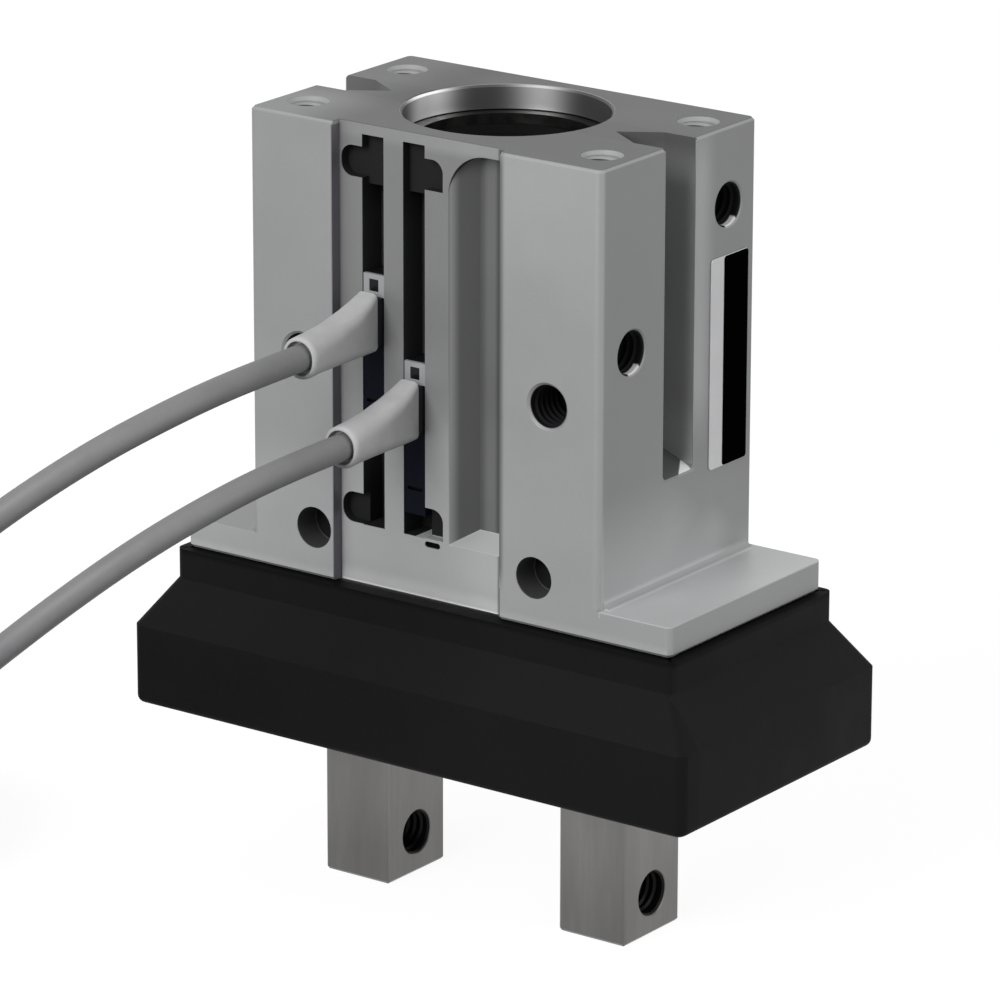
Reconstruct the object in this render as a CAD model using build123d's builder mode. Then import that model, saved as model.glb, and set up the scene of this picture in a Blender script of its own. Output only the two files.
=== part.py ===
from build123d import *
from math import asin, cos, pi, radians, sin, tan
import os

# Two-finger linear slide gripper with a rubber dust cover and two in-groove switches.
# All sizes are in millimetres. +Z is up and the fingers point down, so the fingertips stand
# on Z = 0. X is the way the fingers slide, and the switch side of the body faces -Y.

# Heights above the fingertips
finger_reach = 18.2
cover_height = 16.3
body_height = 46.5
cover_bottom = finger_reach
body_bottom = cover_bottom + cover_height
body_top = body_bottom + body_height

# Body block and its foot flange
body_width = 42.0
body_depth = 26.0
body_corner = 0.8
edge_break = 0.3
flange_width = 58.5
flange_thickness = 3.1
flange_corner = 0.7
foot_radius = 1.0
flange_top = body_bottom + flange_thickness
side = body_width / 2
front = -body_depth / 2

# Cylinder, end cap and rod, on an axis set back to leave room for the switch grooves
axis_y = 0.8
pilot_radius = 10.2
pilot_mouth = 0.3
ring_depth = 2.5
ring_thickness = 1.0
ring_slack = 0.1
ring_groove = 0.6
ring_width = 1.9
ring_gap_angle = 24.0
ring_gap_toward = -90.0
ring_lug_radius = 1.4
ring_lug_hole = 0.5
cap_flange = 1.8
cap_spigot = 4.0
cap_clearance = 0.1
cap_hollow_depth = 0.7
cap_hollow_rim = 1.9
bore_radius = 8.0
bore_floor_up = 15.5
bore_floor = body_bottom + bore_floor_up
slip = 0.05
seal_slip = 0.02
seal_height = 1.4
seal_depth = 1.2
rod_radius = 3.0
rod_clearance = 0.06
well_radius = 6.8
spool_room = 0.8
ring_seat = body_top - ring_depth - ring_thickness - ring_slack
cap_seat = ring_seat - cap_flange
cap_foot = cap_seat - cap_spigot

# Recess of the switch side, its two grooves and the relief beside them
recess_left = -10.85
recess_right = 9.2
recess_depth = 1.2
recess_face = front + recess_depth
groove_width = 2.6
groove_depth = 3.1
groove_centres = {"upper": -6.8, "lower": -1.87}
groove_foot_up = 6.0
groove_top_gap = 1.1
groove_shallow_length = 5.1
groove_bottom = body_bottom + groove_foot_up
groove_top = body_top - groove_top_gap
groove_shallow_from = groove_top - groove_shallow_length
groove_shallow_depth = 1.1
pocket_widths = {"upper": 2.5, "lower": 2.15}
pocket_height = 3.1
pocket_depth = 1.1
pocket_low_up = 1.6
pocket_high_down = 2.8
pocket_middles = (groove_bottom + pocket_low_up, groove_top - pocket_high_down)
pocket_rounding = 1.3
relief_left = 2.2
relief_slant = 2.4
relief_depth = 2.0
relief_below = 0.2
relief_short = 0.1
relief_bottom = groove_bottom - relief_below
relief_top = groove_top - relief_short
relief_ramp = 37.0
relief_rounding = 4.5
bleed_size = (1.85, 0.6)
bleed_depth = 0.8
bleed_across = 0.3
bleed_down = 0.55
bleed_centre = (bleed_across, groove_bottom - bleed_down)

# Slots down both sides
side_slot_width = 5.1
side_slot_depth = 3.7
side_slot_apex = 7.6
side_slot_up = 13.5
side_slot_bottom = body_bottom + side_slot_up
side_slot_rounding = 0.6
side_slot_ramp = 22.0

# Holes for fastening and for air
top_hole_radius = 1.7
top_hole_depth = 4.6
top_hole_mouth = 0.4
top_hole_spacing = (35.0, 16.0)
thread_radius = 2.1
thread_mouth = 0.3
front_thread_spacing = 29.6
front_thread_up = 22.4
front_thread_height = body_bottom + front_thread_up
front_thread_depth = 5.0
port_depth = 5.5
high_port_in = 4.8
high_port_down = 7.8
low_port_in = 5.1
low_port_up = 27.6
port_places = {
    "high": (body_depth / 2 - high_port_in, body_top - high_port_down),
    "low": (low_port_in - body_depth / 2, body_bottom + low_port_up),
}
passage_radius = 1.0
passage_overrun = 1.0

# Bell-crank levers: their pivots, their two arms and the fits at their tips
pivot_x = 13.3
pivot_up = 5.0
pivot_height = body_bottom + pivot_up
pin_radius = 2.0
pin_clearance = 0.04
pin_mouth_radius = 2.1
pin_recess = 3.0
pin_end = 10.6
lever_thickness = 4.0
lever_side_gap = 0.2
lever_boss_radius = 3.8
lever_root = 2.4
lever_neck = 0.9
lever_room = 0.6
lever_headroom = 1.5
tip_radius = 1.7
tip_fit = 0.08
finger_arm = 9.0
rod_arm = 8.3
finger_travel = 5.0
half_swing = asin(finger_travel / 2 / finger_arm)
finger_tip = (pivot_x - finger_arm * sin(half_swing), pivot_height - finger_arm * cos(half_swing))
rod_tip = (pivot_x - rod_arm * cos(half_swing), pivot_height + rod_arm * sin(half_swing))
rod_travel = 2 * rod_arm * sin(half_swing)
lever_reach = pivot_x + lever_boss_radius + lever_room
lever_pocket_top = rod_tip[1] + tip_radius + lever_headroom
lever_slot = lever_thickness / 2 + lever_side_gap
tip_slot = tip_radius + tip_fit

# Piston and rod, drawn at the top of the stroke, where the fingers are closed
piston_height = 8.6
piston_gap = 0.3
magnet_height = 2.4
magnet_depth = 1.5
magnet_up = 1.4
piston_seal_up = 5.6
stud_radius = 2.0
stud_end = 0.6
nut_width = 6.8
nut_height = 2.2
nut_room = 0.5
spool_radius = 6.0
spool_flange = 1.9
spool_neck = 2.8
bush_height = 3.2
bush_fit = 0.02
rod_seal_radius = 5.0
bumper_height = 1.2
bumper_inner = 4.6
bumper_outer = 6.8
piston_top = cap_foot - bumper_height - piston_gap
piston_bottom = piston_top - piston_height
bush_top = bore_floor + bush_height
spool_low = rod_tip[1] - tip_slot
spool_high = rod_tip[1] + tip_slot
well_top = spool_high + spool_flange + spool_room
port_ends = {
    "high": cap_foot - passage_radius, "low": bush_top + bumper_height + 0.8 * passage_radius,
}

# Guide under the body: a plate with a channel below it
plate_end_margin = 2.3
plate_side_margin = 2.2
plate_length = flange_width - plate_end_margin
plate_depth = body_depth - plate_side_margin
plate_thickness = 3.3
plate_corner = 1.0
channel_end_margin = 5.2
channel_side_margin = 1.6
channel_drop = 10.1
channel_length = plate_length - channel_end_margin
channel_depth = plate_depth - channel_side_margin
channel_bottom = body_bottom - channel_drop
carriage_gap = 0.15
end_plate_thickness = 1.4
end_plate_depth = 21.0
end_screw_spacing = 17.2
end_screw_radius = 0.8
end_screw_head = 1.4
end_screw_head_height = 0.7
end_screw_length = 4.0
guide_screw_radius = 1.0
guide_screw_clearance = 0.1
guide_screw_head = 1.75
guide_screw_head_height = 2.0
guide_screw_sunk = 0.3
guide_screw_spacing = (37.0, 17.2)
guide_screw_grip = 5.5
socket_radius = 0.85
socket_depth = 1.1
plate_bottom = body_bottom - plate_thickness
guide_screw_seat = channel_bottom + guide_screw_sunk + guide_screw_head_height

# Fingers
finger_inner = 10.5
finger_width = 8.0
finger_depth = 9.5
finger_edge = 0.3
finger_thread_height = 4.3
carriage_inner = 3.0
carriage_outer = 20.0
carriage_proud = 0.8
carriage_sunk = 2.1
carriage_bottom = channel_bottom - carriage_proud
carriage_top = body_bottom - carriage_sunk
carriage_depth = 12.0
notch_room = 0.6
ball_radius = 1.0
ball_fit = 0.04
ball_height = (carriage_bottom + carriage_top) / 2
ball_count = 4
ball_pitch = 3.2
finger_middle = finger_inner + finger_width / 2
ball_track = carriage_depth / 2 + carriage_gap / 2
ball_row_middle = (carriage_inner + carriage_outer) / 2 + finger_travel / 4

# Rubber dust cover
collar_end_overhang = 1.7
collar_side_overhang = 1.8
collar_length = flange_width + collar_end_overhang
collar_depth = body_depth + collar_side_overhang
collar_height = 3.1
collar_gap = 0.1
collar_corner = 0.9
skirt_end_flare = 6.7
skirt_side_flare = 5.9
skirt_length = collar_length + skirt_end_flare
skirt_depth = collar_depth + skirt_side_flare
skirt_height = 8.3
skirt_corner = 1.1
cover_inner_corner = 0.6
cover_wall = 1.6
cover_floor = 1.3
cover_edge = 0.8
lip_height = 1.0
lip_reach = 1.0
opening_gap = 0.3
rim_width = 1.0
rim_height = 1.6
fold_width = 1.1
fold_depth = 0.5
fold_offset = 1.6
cover_top = body_bottom - collar_gap
collar_bottom = cover_top - collar_height
skirt_top = cover_bottom + skirt_height
lip_top = plate_bottom - collar_gap
floor_top = cover_bottom + cover_floor

# Switches in the grooves
switch_length = 15.4
switch_width = 2.5
switch_depth = 3.0
switch_foot_up = 2.2
switch_stagger = 8.0
switch_tops = {
    "upper": groove_bottom + switch_foot_up + switch_stagger + switch_length,
    "lower": groove_bottom + switch_foot_up + switch_length,
}
head_height = 2.2
window_size = (1.1, 1.2)
window_depth = 0.4
clamp_screw_radius = 0.9
clamp_screw_up = 2.6
clamp_screw_depth = 1.2
clamp_slot_width = 0.35
clamp_slot_depth = 0.4
switch_back = recess_face + groove_depth
switch_face = switch_back - switch_depth

# Moulded boots and leads
boot_down = 4.7
boot_drop = 1.0
boot_length = 11.9
boot_neck = 1.0
boot_root = (2.4, 4.8)
boot_shoulder = (3.4, 5.4)
boot_tail = (4.0, 4.2)
boot_rounding = 0.9
boot_tail_rounding = 1.9
mouth_radius = 1.6
mouth_depth = 0.8
lead_radius = 1.35
boot_end = switch_face - boot_length
boot_heights = {level: top - boot_down for level, top in switch_tops.items()}

# Routes of the two leads, from the boots down to the coils
lead_routes = {
    "upper": [
        (-6.8, -22.8, 60.4), (-6.8, -31.4, 60.4), (-7.6, -41.0, 59.5), (-11.2, -50.0, 56.4),
        (-18.0, -57.0, 50.2), (-26.8, -61.0, 41.6), (-36.4, -61.9, 32.0), (-45.4, -59.8, 22.4),
        (-53.2, -56.0, 14.0), (-59.4, -52.6, 8.8), (-65.2, -50.55, 6.75),
    ],
    "lower": [
        (-1.87, -22.8, 52.4), (-1.87, -31.0, 52.4), (-2.9, -40.0, 51.3), (-6.6, -48.4, 47.8),
        (-13.2, -54.8, 41.4), (-21.8, -58.6, 33.2), (-31.0, -59.4, 24.0), (-39.8, -58.0, 15.2),
        (-48.0, -55.0, 7.8), (-56.4, -52.2, 3.0), (-65.0, -50.55, 1.35),
    ],
}
corner_share = 0.45

# Coils of the leads, one on the other, each with turns beside and on each other
coil_centre = (-65.0, -33.6)
coil_radius = 15.6
coil_turns_beside = 2
coil_layers = 2
coil_rounding = 1.3
coil_height = coil_layers * 2 * lead_radius
coil_floors = {"upper": coil_height, "lower": 0.0}

# Label on the port side
label_size = (6.3, 21.2)
label_in = 4.65
label_up = 23.2
label_middle = (body_depth / 2 - label_in, body_bottom + label_up)
label_thickness = 0.15
label_rounding = 0.4

levels = ("upper", "lower")
hands = {"left": -1, "right": 1}
cylinder_axis = Axis((0, axis_y, 0), (0, 0, 1))
half_plane = Plane(origin=(0, axis_y, 0), x_dir=(1, 0, 0), z_dir=(0, -1, 0))


def finish(piece, name):
    piece.part.label = name
    export_step(piece.part, f"parts/{name}.step")


def turned(points, mode=Mode.ADD):
    """Turn an outline of (radius, height) points round the cylinder axis."""
    with BuildSketch(half_plane) as outline:
        Polygon(*points, align=None)
    revolve(outline.sketch, axis=cylinder_axis, mode=mode)


def turned_ring(inner, outer, bottom, height, mode=Mode.ADD):
    """Turn a plain ring, or a plain disc where inner is nought."""
    top = bottom + height
    turned([(inner, bottom), (outer, bottom), (outer, top), (inner, top)], mode)


def box_between(start, end, mode=Mode.ADD):
    """Add or cut the box between two opposite corners."""
    middle = tuple((a + b) / 2 for a, b in zip(start, end))
    with Locations(middle):
        Box(*[abs(b - a) for a, b in zip(start, end)], mode=mode)


def round_bar(start, direction, radius, depth, mode=Mode.ADD):
    """Add a round pin, or drill a round hole, from start along direction."""
    with BuildSketch(Plane(origin=start, z_dir=direction)) as end:
        Circle(radius)
    extrude(end.sketch, amount=depth, mode=mode)


def tapped_hole(start, direction, radius, mouth, depth):
    """Drill a hole to be tapped, with a small countersink at its mouth."""
    round_bar(start, direction, radius, depth, Mode.SUBTRACT)
    foot = tuple(s + d * mouth for s, d in zip(start, direction))
    with BuildSketch(Plane(origin=start, z_dir=direction)) as rim:
        Circle(radius + mouth)
    with BuildSketch(Plane(origin=foot, z_dir=direction)) as throat:
        Circle(radius)
    loft([rim.sketch, throat.sketch], mode=Mode.SUBTRACT)


def rounded_slab(size, rounding, bottom, height, mode=Mode.ADD):
    """Add or cut an upright block with rounded corners, centred on the Z axis."""
    with BuildSketch(Plane.XY.offset(bottom)) as plan:
        RectangleRounded(*size, rounding)
    extrude(plan.sketch, amount=height, mode=mode)


def rounded_taper(low_size, low_rounding, low, high_size, high_rounding, high, mode=Mode.ADD):
    """Add or cut a block that runs from one rounded rectangle up to another."""
    with BuildSketch(Plane.XY.offset(low)) as low_plan:
        RectangleRounded(*low_size, low_rounding)
    with BuildSketch(Plane.XY.offset(high)) as high_plan:
        RectangleRounded(*high_size, high_rounding)
    loft([low_plan.sketch, high_plan.sketch], mode=mode)


def shrunk(size, amount):
    """Take a wall off both sides of a length and a depth."""
    return tuple(extent - 2 * amount for extent in size)


os.makedirs("parts", exist_ok=True)

# Relief beside the grooves: its plan, front and side outlines meet in one cutting shape
with BuildPart() as relief:
    relief_back = recess_face + relief_depth
    ramp_rise = relief_depth * tan(radians(relief_ramp))
    with BuildSketch(Plane.XY.offset(relief_bottom)):
        Polygon(
            (relief_left, front), (relief_left, recess_face),
            (relief_left + relief_slant, relief_back), (recess_right, relief_back),
            (recess_right, front), align=None,
        )
    extrude(amount=relief_top - relief_bottom)
    with BuildSketch(Plane.XZ.offset(-relief_back)):
        with BuildLine():
            corner = (relief_left + relief_rounding, relief_top)
            under_corner = (relief_left, relief_top - relief_rounding)
            Polyline(
                under_corner, (relief_left, relief_bottom), (recess_right, relief_bottom),
                (recess_right, relief_top), corner,
            )
            RadiusArc(corner, under_corner, -relief_rounding)
        make_face()
    extrude(amount=relief_depth + recess_depth, mode=Mode.INTERSECT)
    with BuildSketch(Plane.YZ.offset(relief_left)):
        Polygon(
            (front, relief_bottom), (recess_face, relief_bottom),
            (relief_back, relief_bottom + ramp_rise), (relief_back, relief_top),
            (front, relief_top), align=None,
        )
    extrude(amount=recess_right - relief_left, mode=Mode.INTERSECT)

# Side slots: a straight mouth and a pointed floor, with rounded corners at the lower end
with BuildPart() as side_slots:
    slot_floor = side - side_slot_depth
    with BuildSketch(Plane.XY.offset(side_slot_bottom)):
        Polygon(
            (side, -side_slot_width / 2), (side, side_slot_width / 2),
            (slot_floor, side_slot_width / 2), (side - side_slot_apex, 0),
            (slot_floor, -side_slot_width / 2), align=None,
        )
        mirror(about=Plane.YZ)
    slot_height = body_top - side_slot_bottom
    extrude(amount=slot_height)
    with BuildSketch(Plane.YZ.offset(-side)):
        with Locations((0, side_slot_bottom + slot_height / 2 + side_slot_rounding)):
            RectangleRounded(
                side_slot_width, slot_height + 2 * side_slot_rounding, side_slot_rounding
            )
    extrude(amount=body_width, mode=Mode.INTERSECT)
    ramp_top = side_slot_bottom + side_slot_apex * tan(radians(side_slot_ramp))
    with BuildSketch(Plane.XZ.offset(side_slot_width)):
        Polygon(
            (side, side_slot_bottom), (side, body_top), (0, body_top), (0, ramp_top),
            (side - side_slot_apex, ramp_top), align=None,
        )
        mirror(about=Plane.YZ)
    extrude(amount=-2 * side_slot_width, mode=Mode.INTERSECT)

# Body: block and foot flange in one, with everything that is bored or milled into it
with BuildPart() as body:
    rounded_slab((body_width, body_depth), body_corner, body_bottom, body_height)
    chamfer(faces().sort_by(Axis.Z)[-1].edges(), edge_break)
    rounded_slab((flange_width, body_depth), flange_corner, body_bottom, flange_thickness)
    chamfer(faces().sort_by(Axis.Z)[0].edges(), edge_break)
    with BuildSketch(Plane.XZ.offset(-(front + body_corner))):
        with BuildLine():
            toe = (side + foot_radius, flange_top)
            heel = (side, flange_top + foot_radius)
            Polyline(toe, (side, flange_top), heel)
            RadiusArc(heel, toe, -foot_radius)
        make_face()
        mirror(about=Plane.YZ)
    extrude(amount=-(body_depth - 2 * body_corner))

    # Recess with its grooves, end pockets, relief and bleed hole
    box_between(
        (recess_left, front, body_bottom), (recess_right, recess_face, body_top), Mode.SUBTRACT
    )
    for centre in groove_centres.values():
        groove_sides = (centre - groove_width / 2, centre + groove_width / 2)
        box_between(
            (groove_sides[0], recess_face, groove_bottom),
            (groove_sides[1], recess_face + groove_depth, groove_shallow_from), Mode.SUBTRACT,
        )
        box_between(
            (groove_sides[0], recess_face, groove_bottom),
            (groove_sides[1], recess_face + groove_shallow_depth, groove_top), Mode.SUBTRACT,
        )
    for middle in pocket_middles:
        with BuildSketch(Plane.XZ.offset(-recess_face)):
            for (level, centre), hand in zip(groove_centres.items(), (-1, 1)):
                width = pocket_widths[level]
                with Locations((centre + hand * (groove_width + width) / 2, middle)):
                    pocket = Rectangle(width, pocket_height)
                outer = pocket.vertices().group_by(Axis.X)[-1 if hand > 0 else 0]
                fillet(outer.sort_by(Axis.Z)[-1:] if hand > 0 else outer, pocket_rounding)
        extrude(amount=-pocket_depth, mode=Mode.SUBTRACT)
    add(relief.part, mode=Mode.SUBTRACT)
    with BuildSketch(Plane.XZ.offset(-recess_face)):
        with Locations(bleed_centre):
            SlotOverall(*bleed_size)
    extrude(amount=-bleed_depth, mode=Mode.SUBTRACT)
    add(side_slots.part, mode=Mode.SUBTRACT)

    # Stepped bore: pilot with its ring groove, cylinder, rod hole and spool well
    ring_groove_radius = pilot_radius + ring_groove
    rod_hole = rod_radius + rod_clearance
    turned([
        (0, body_top), (pilot_radius + pilot_mouth, body_top),
        (pilot_radius, body_top - pilot_mouth), (pilot_radius, body_top - ring_depth),
        (ring_groove_radius, body_top - ring_depth), (ring_groove_radius, ring_seat),
        (pilot_radius, ring_seat), (pilot_radius, cap_seat), (bore_radius, cap_seat),
        (bore_radius, bore_floor), (rod_hole, bore_floor), (rod_hole, well_top),
        (well_radius, well_top), (well_radius, body_bottom), (0, body_bottom),
    ], Mode.SUBTRACT)

    # Lever pocket with its pin holes, from the switch side
    box_between(
        (-lever_reach, axis_y - lever_slot, body_bottom),
        (lever_reach, axis_y + lever_slot, lever_pocket_top), Mode.SUBTRACT,
    )
    for hand in hands.values():
        pin_mouth = (hand * pivot_x, front, pivot_height)
        round_bar(pin_mouth, (0, 1, 0), pin_mouth_radius, pin_recess, Mode.SUBTRACT)
        round_bar(pin_mouth, (0, 1, 0), pin_radius, pin_end - front, Mode.SUBTRACT)

    # Tapped holes in the top, the front and the port side, and the air passages
    for x in (-top_hole_spacing[0] / 2, top_hole_spacing[0] / 2):
        for y in (-top_hole_spacing[1] / 2, top_hole_spacing[1] / 2):
            tapped_hole(
                (x, y, body_top), (0, 0, -1), top_hole_radius, top_hole_mouth, top_hole_depth
            )
    for hand in hands.values():
        tapped_hole(
            (hand * front_thread_spacing / 2, front, front_thread_height), (0, 1, 0),
            thread_radius, thread_mouth, front_thread_depth,
        )
    for name, (port_y, port_height) in port_places.items():
        tapped_hole((side, port_y, port_height), (-1, 0, 0), thread_radius, thread_mouth, port_depth)
        start = Vector(side - port_depth, port_y, port_height)
        inward = (Vector(0, axis_y, port_height) - start).normalized()
        reach = (Vector(0, axis_y, port_height) - start).length - bore_radius
        end = start + inward * reach + Vector(0, 0, port_ends[name] - port_height)
        run = end - start
        round_bar(
            tuple(start), tuple(run.normalized()), passage_radius,
            run.length + passage_overrun, Mode.SUBTRACT,
        )

    # Holes for the guide screws, from below
    for x in (-guide_screw_spacing[0] / 2, guide_screw_spacing[0] / 2):
        for y in (-guide_screw_spacing[1] / 2, guide_screw_spacing[1] / 2):
            round_bar(
                (x, y, body_bottom), (0, 0, 1), guide_screw_radius, guide_screw_grip,
                Mode.SUBTRACT,
            )

finish(body, "body")

# End cap: a flange on the pilot seat, and a spigot with a seal groove and room for the nut
cap_radius = pilot_radius - cap_clearance
spigot_radius = bore_radius - slip
seal_middle = (cap_seat + cap_foot) / 2
nut_space = nut_width / 2 / cos(pi / 6) + nut_room
nut_space_top = piston_top + nut_height + stud_end + nut_room
with BuildPart() as end_cap:
    turned([
        (0, nut_space_top), (nut_space, nut_space_top), (nut_space, cap_foot),
        (spigot_radius, cap_foot), (spigot_radius, seal_middle - seal_height / 2),
        (spigot_radius - seal_depth, seal_middle - seal_height / 2),
        (spigot_radius - seal_depth, seal_middle + seal_height / 2),
        (spigot_radius, seal_middle + seal_height / 2), (spigot_radius, cap_seat),
        (cap_radius, cap_seat), (cap_radius, ring_seat), (cap_radius - cap_hollow_rim, ring_seat),
        (cap_radius - cap_hollow_rim - cap_hollow_depth, ring_seat - cap_hollow_depth),
        (0, ring_seat - cap_hollow_depth),
    ])
finish(end_cap, "end_cap")

with BuildPart() as cap_seal:
    turned_ring(
        spigot_radius - seal_depth, bore_radius - seal_slip, seal_middle - seal_height / 2,
        seal_height,
    )
finish(cap_seal, "cap_seal")

# Retaining ring: an open ring with two drilled lugs beside its gap
with BuildPart() as retaining_ring:
    ring_outer = pilot_radius + ring_groove - ring_slack
    lug_circle = pilot_radius - ring_lug_radius - ring_slack
    ring_lugs = (ring_gap_toward - ring_gap_angle, 2 * ring_gap_angle)
    with BuildSketch(Plane.XY.offset(ring_seat).shift_origin((0, axis_y, ring_seat))):
        Circle(ring_outer)
        Circle(ring_outer - ring_width, mode=Mode.SUBTRACT)
        with PolarLocations(lug_circle, 2, *ring_lugs, endpoint=True):
            Circle(ring_lug_radius)
        gap_width = 2 * ring_outer * sin(radians(ring_gap_angle / 2))
        with PolarLocations(ring_outer - ring_width, 1, ring_gap_toward):
            Rectangle(2 * ring_width, gap_width, mode=Mode.SUBTRACT)
        with PolarLocations(lug_circle, 2, *ring_lugs, endpoint=True):
            Circle(ring_lug_hole, mode=Mode.SUBTRACT)
    extrude(amount=ring_thickness)
finish(retaining_ring, "retaining_ring")

# Piston with its magnet, seal and nut, and the rod with the spool that works the levers
magnet_bottom = piston_bottom + magnet_up
seal_bottom = piston_bottom + piston_seal_up
with BuildPart() as piston:
    turned([
        (stud_radius, piston_bottom), (spigot_radius, piston_bottom),
        (spigot_radius, magnet_bottom), (spigot_radius - magnet_depth, magnet_bottom),
        (spigot_radius - magnet_depth, magnet_bottom + magnet_height),
        (spigot_radius, magnet_bottom + magnet_height), (spigot_radius, seal_bottom),
        (spigot_radius - seal_depth, seal_bottom),
        (spigot_radius - seal_depth, seal_bottom + seal_height),
        (spigot_radius, seal_bottom + seal_height), (spigot_radius, piston_top),
        (stud_radius, piston_top),
    ])
finish(piston, "piston")

with BuildPart() as piston_magnet:
    turned_ring(
        spigot_radius - magnet_depth, spigot_radius - slip, magnet_bottom, magnet_height
    )
finish(piston_magnet, "piston_magnet")

with BuildPart() as piston_seal:
    turned_ring(
        spigot_radius - seal_depth, bore_radius - seal_slip, seal_bottom, seal_height
    )
finish(piston_seal, "piston_seal")

with BuildPart() as piston_nut:
    with BuildSketch(Plane.XY.offset(piston_top).shift_origin((0, axis_y, piston_top))):
        RegularPolygon(nut_width / 2, 6, major_radius=False)
        Circle(stud_radius, mode=Mode.SUBTRACT)
    extrude(amount=nut_height)
finish(piston_nut, "piston_nut")

with BuildPart() as piston_rod:
    stud_top = piston_top + nut_height + stud_end
    turned([
        (0, spool_low - spool_flange), (spool_radius, spool_low - spool_flange),
        (spool_radius, spool_low), (spool_neck, spool_low), (spool_neck, spool_high),
        (spool_radius, spool_high), (spool_radius, spool_high + spool_flange),
        (rod_radius, spool_high + spool_flange), (rod_radius, piston_bottom),
        (stud_radius, piston_bottom), (stud_radius, stud_top), (0, stud_top),
    ])
finish(piston_rod, "piston_rod")

# Rod bush with its seal at the foot of the cylinder, and the bumpers at both ends
with BuildPart() as rod_guide:
    bush_bore = rod_radius + bush_fit
    seal_top = bore_floor + seal_height
    turned([
        (rod_seal_radius, bore_floor), (spigot_radius, bore_floor), (spigot_radius, bush_top),
        (bush_bore, bush_top), (bush_bore, seal_top), (rod_seal_radius, seal_top),
    ])
finish(rod_guide, "rod_guide")

with BuildPart() as rod_seal:
    turned_ring(rod_radius + seal_slip, rod_seal_radius, bore_floor, seal_height)
finish(rod_seal, "rod_seal")

for level, bumper_bottom in zip(levels, (cap_foot - bumper_height, bush_top)):
    with BuildPart() as bumper:
        turned_ring(bumper_inner, bumper_outer, bumper_bottom, bumper_height)
    finish(bumper, f"bumper_{level}")

# Levers: a boss on the pin, one arm down to the finger and one across to the spool
for name, hand in hands.items():
    with BuildPart() as lever:
        with BuildSketch(Plane.XZ.offset(-(axis_y - lever_thickness / 2))):
            pivot = Vector(hand * pivot_x, pivot_height)
            with Locations(pivot):
                Circle(lever_boss_radius)
            for tip_x, tip_height in (finger_tip, rod_tip):
                tip = Vector(hand * tip_x, tip_height)
                across = (tip - pivot).normalized().rotate(Axis.Z, 90)
                Polygon(
                    pivot + across * lever_root, tip + across * lever_neck,
                    tip - across * lever_neck, pivot - across * lever_root, align=None,
                )
                with Locations(tip):
                    Circle(tip_radius)
            with Locations(pivot):
                Circle(pin_radius + pin_clearance, mode=Mode.SUBTRACT)
        extrude(amount=-lever_thickness)
    finish(lever, f"lever_{name}")

with BuildPart() as lever_pins:
    pin_start = front + pin_recess
    for hand in hands.values():
        round_bar((hand * pivot_x, pin_start, pivot_height), (0, 1, 0), pin_radius, pin_end - pin_start)
finish(lever_pins, "lever_pins")

# Guide: the plate and the channel that the carriages run in, closed by a plate at each end
cavity_half = carriage_depth / 2 + carriage_gap
cavity_top = carriage_top + carriage_gap
channel_end = channel_length / 2
with BuildPart() as guide_channel:
    rounded_slab((plate_length, plate_depth), plate_corner, plate_bottom, plate_thickness)
    box_between(
        (-channel_end, -channel_depth / 2, channel_bottom),
        (channel_end, channel_depth / 2, plate_bottom),
    )
    box_between(
        (-channel_end, -cavity_half, channel_bottom), (channel_end, cavity_half, cavity_top),
        Mode.SUBTRACT,
    )
    box_between(
        (-lever_reach - lever_room, axis_y - lever_slot, cavity_top),
        (lever_reach + lever_room, axis_y + lever_slot, body_bottom), Mode.SUBTRACT,
    )
    turned_ring(0, well_radius, cavity_top, body_bottom - cavity_top, Mode.SUBTRACT)
    for hand in (-1, 1):
        round_bar(
            (-channel_end, hand * ball_track, ball_height), (1, 0, 0), ball_radius + ball_fit,
            channel_length, Mode.SUBTRACT,
        )
    for x in (-guide_screw_spacing[0] / 2, guide_screw_spacing[0] / 2):
        for y in (-guide_screw_spacing[1] / 2, guide_screw_spacing[1] / 2):
            mouth = (x, y, channel_bottom)
            clear_radius = guide_screw_radius + guide_screw_clearance
            head_room = guide_screw_head + guide_screw_clearance
            round_bar(mouth, (0, 0, 1), clear_radius, body_bottom - channel_bottom, Mode.SUBTRACT)
            round_bar(mouth, (0, 0, 1), head_room, guide_screw_seat - channel_bottom, Mode.SUBTRACT)
    for hand in hands.values():
        for y in (-end_screw_spacing / 2, end_screw_spacing / 2):
            round_bar(
                (hand * channel_end, y, ball_height), (-hand, 0, 0), end_screw_radius,
                end_screw_length, Mode.SUBTRACT,
            )
finish(guide_channel, "guide_channel")

with BuildPart() as guide_screws:
    for x in (-guide_screw_spacing[0] / 2, guide_screw_spacing[0] / 2):
        for y in (-guide_screw_spacing[1] / 2, guide_screw_spacing[1] / 2):
            head = (x, y, guide_screw_seat - guide_screw_head_height)
            shank_length = body_bottom + guide_screw_grip - guide_screw_seat
            round_bar(head, (0, 0, 1), guide_screw_head, guide_screw_head_height)
            round_bar((x, y, guide_screw_seat), (0, 0, 1), guide_screw_radius, shank_length)
            with BuildSketch(Plane.XY.offset(head[2])):
                with Locations((x, y)):
                    RegularPolygon(socket_radius, 6)
            extrude(amount=socket_depth, mode=Mode.SUBTRACT)
finish(guide_screws, "guide_screws")

for name, hand in hands.items():
    with BuildPart() as end_plate:
        box_between(
            (hand * channel_end, -end_plate_depth / 2, channel_bottom),
            (hand * (channel_end + end_plate_thickness), end_plate_depth / 2, plate_bottom),
        )
        for y in (-end_screw_spacing / 2, end_screw_spacing / 2):
            round_bar(
                (hand * channel_end, y, ball_height), (hand, 0, 0), end_screw_radius,
                end_plate_thickness, Mode.SUBTRACT,
            )
    finish(end_plate, f"end_plate_{name}")

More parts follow.
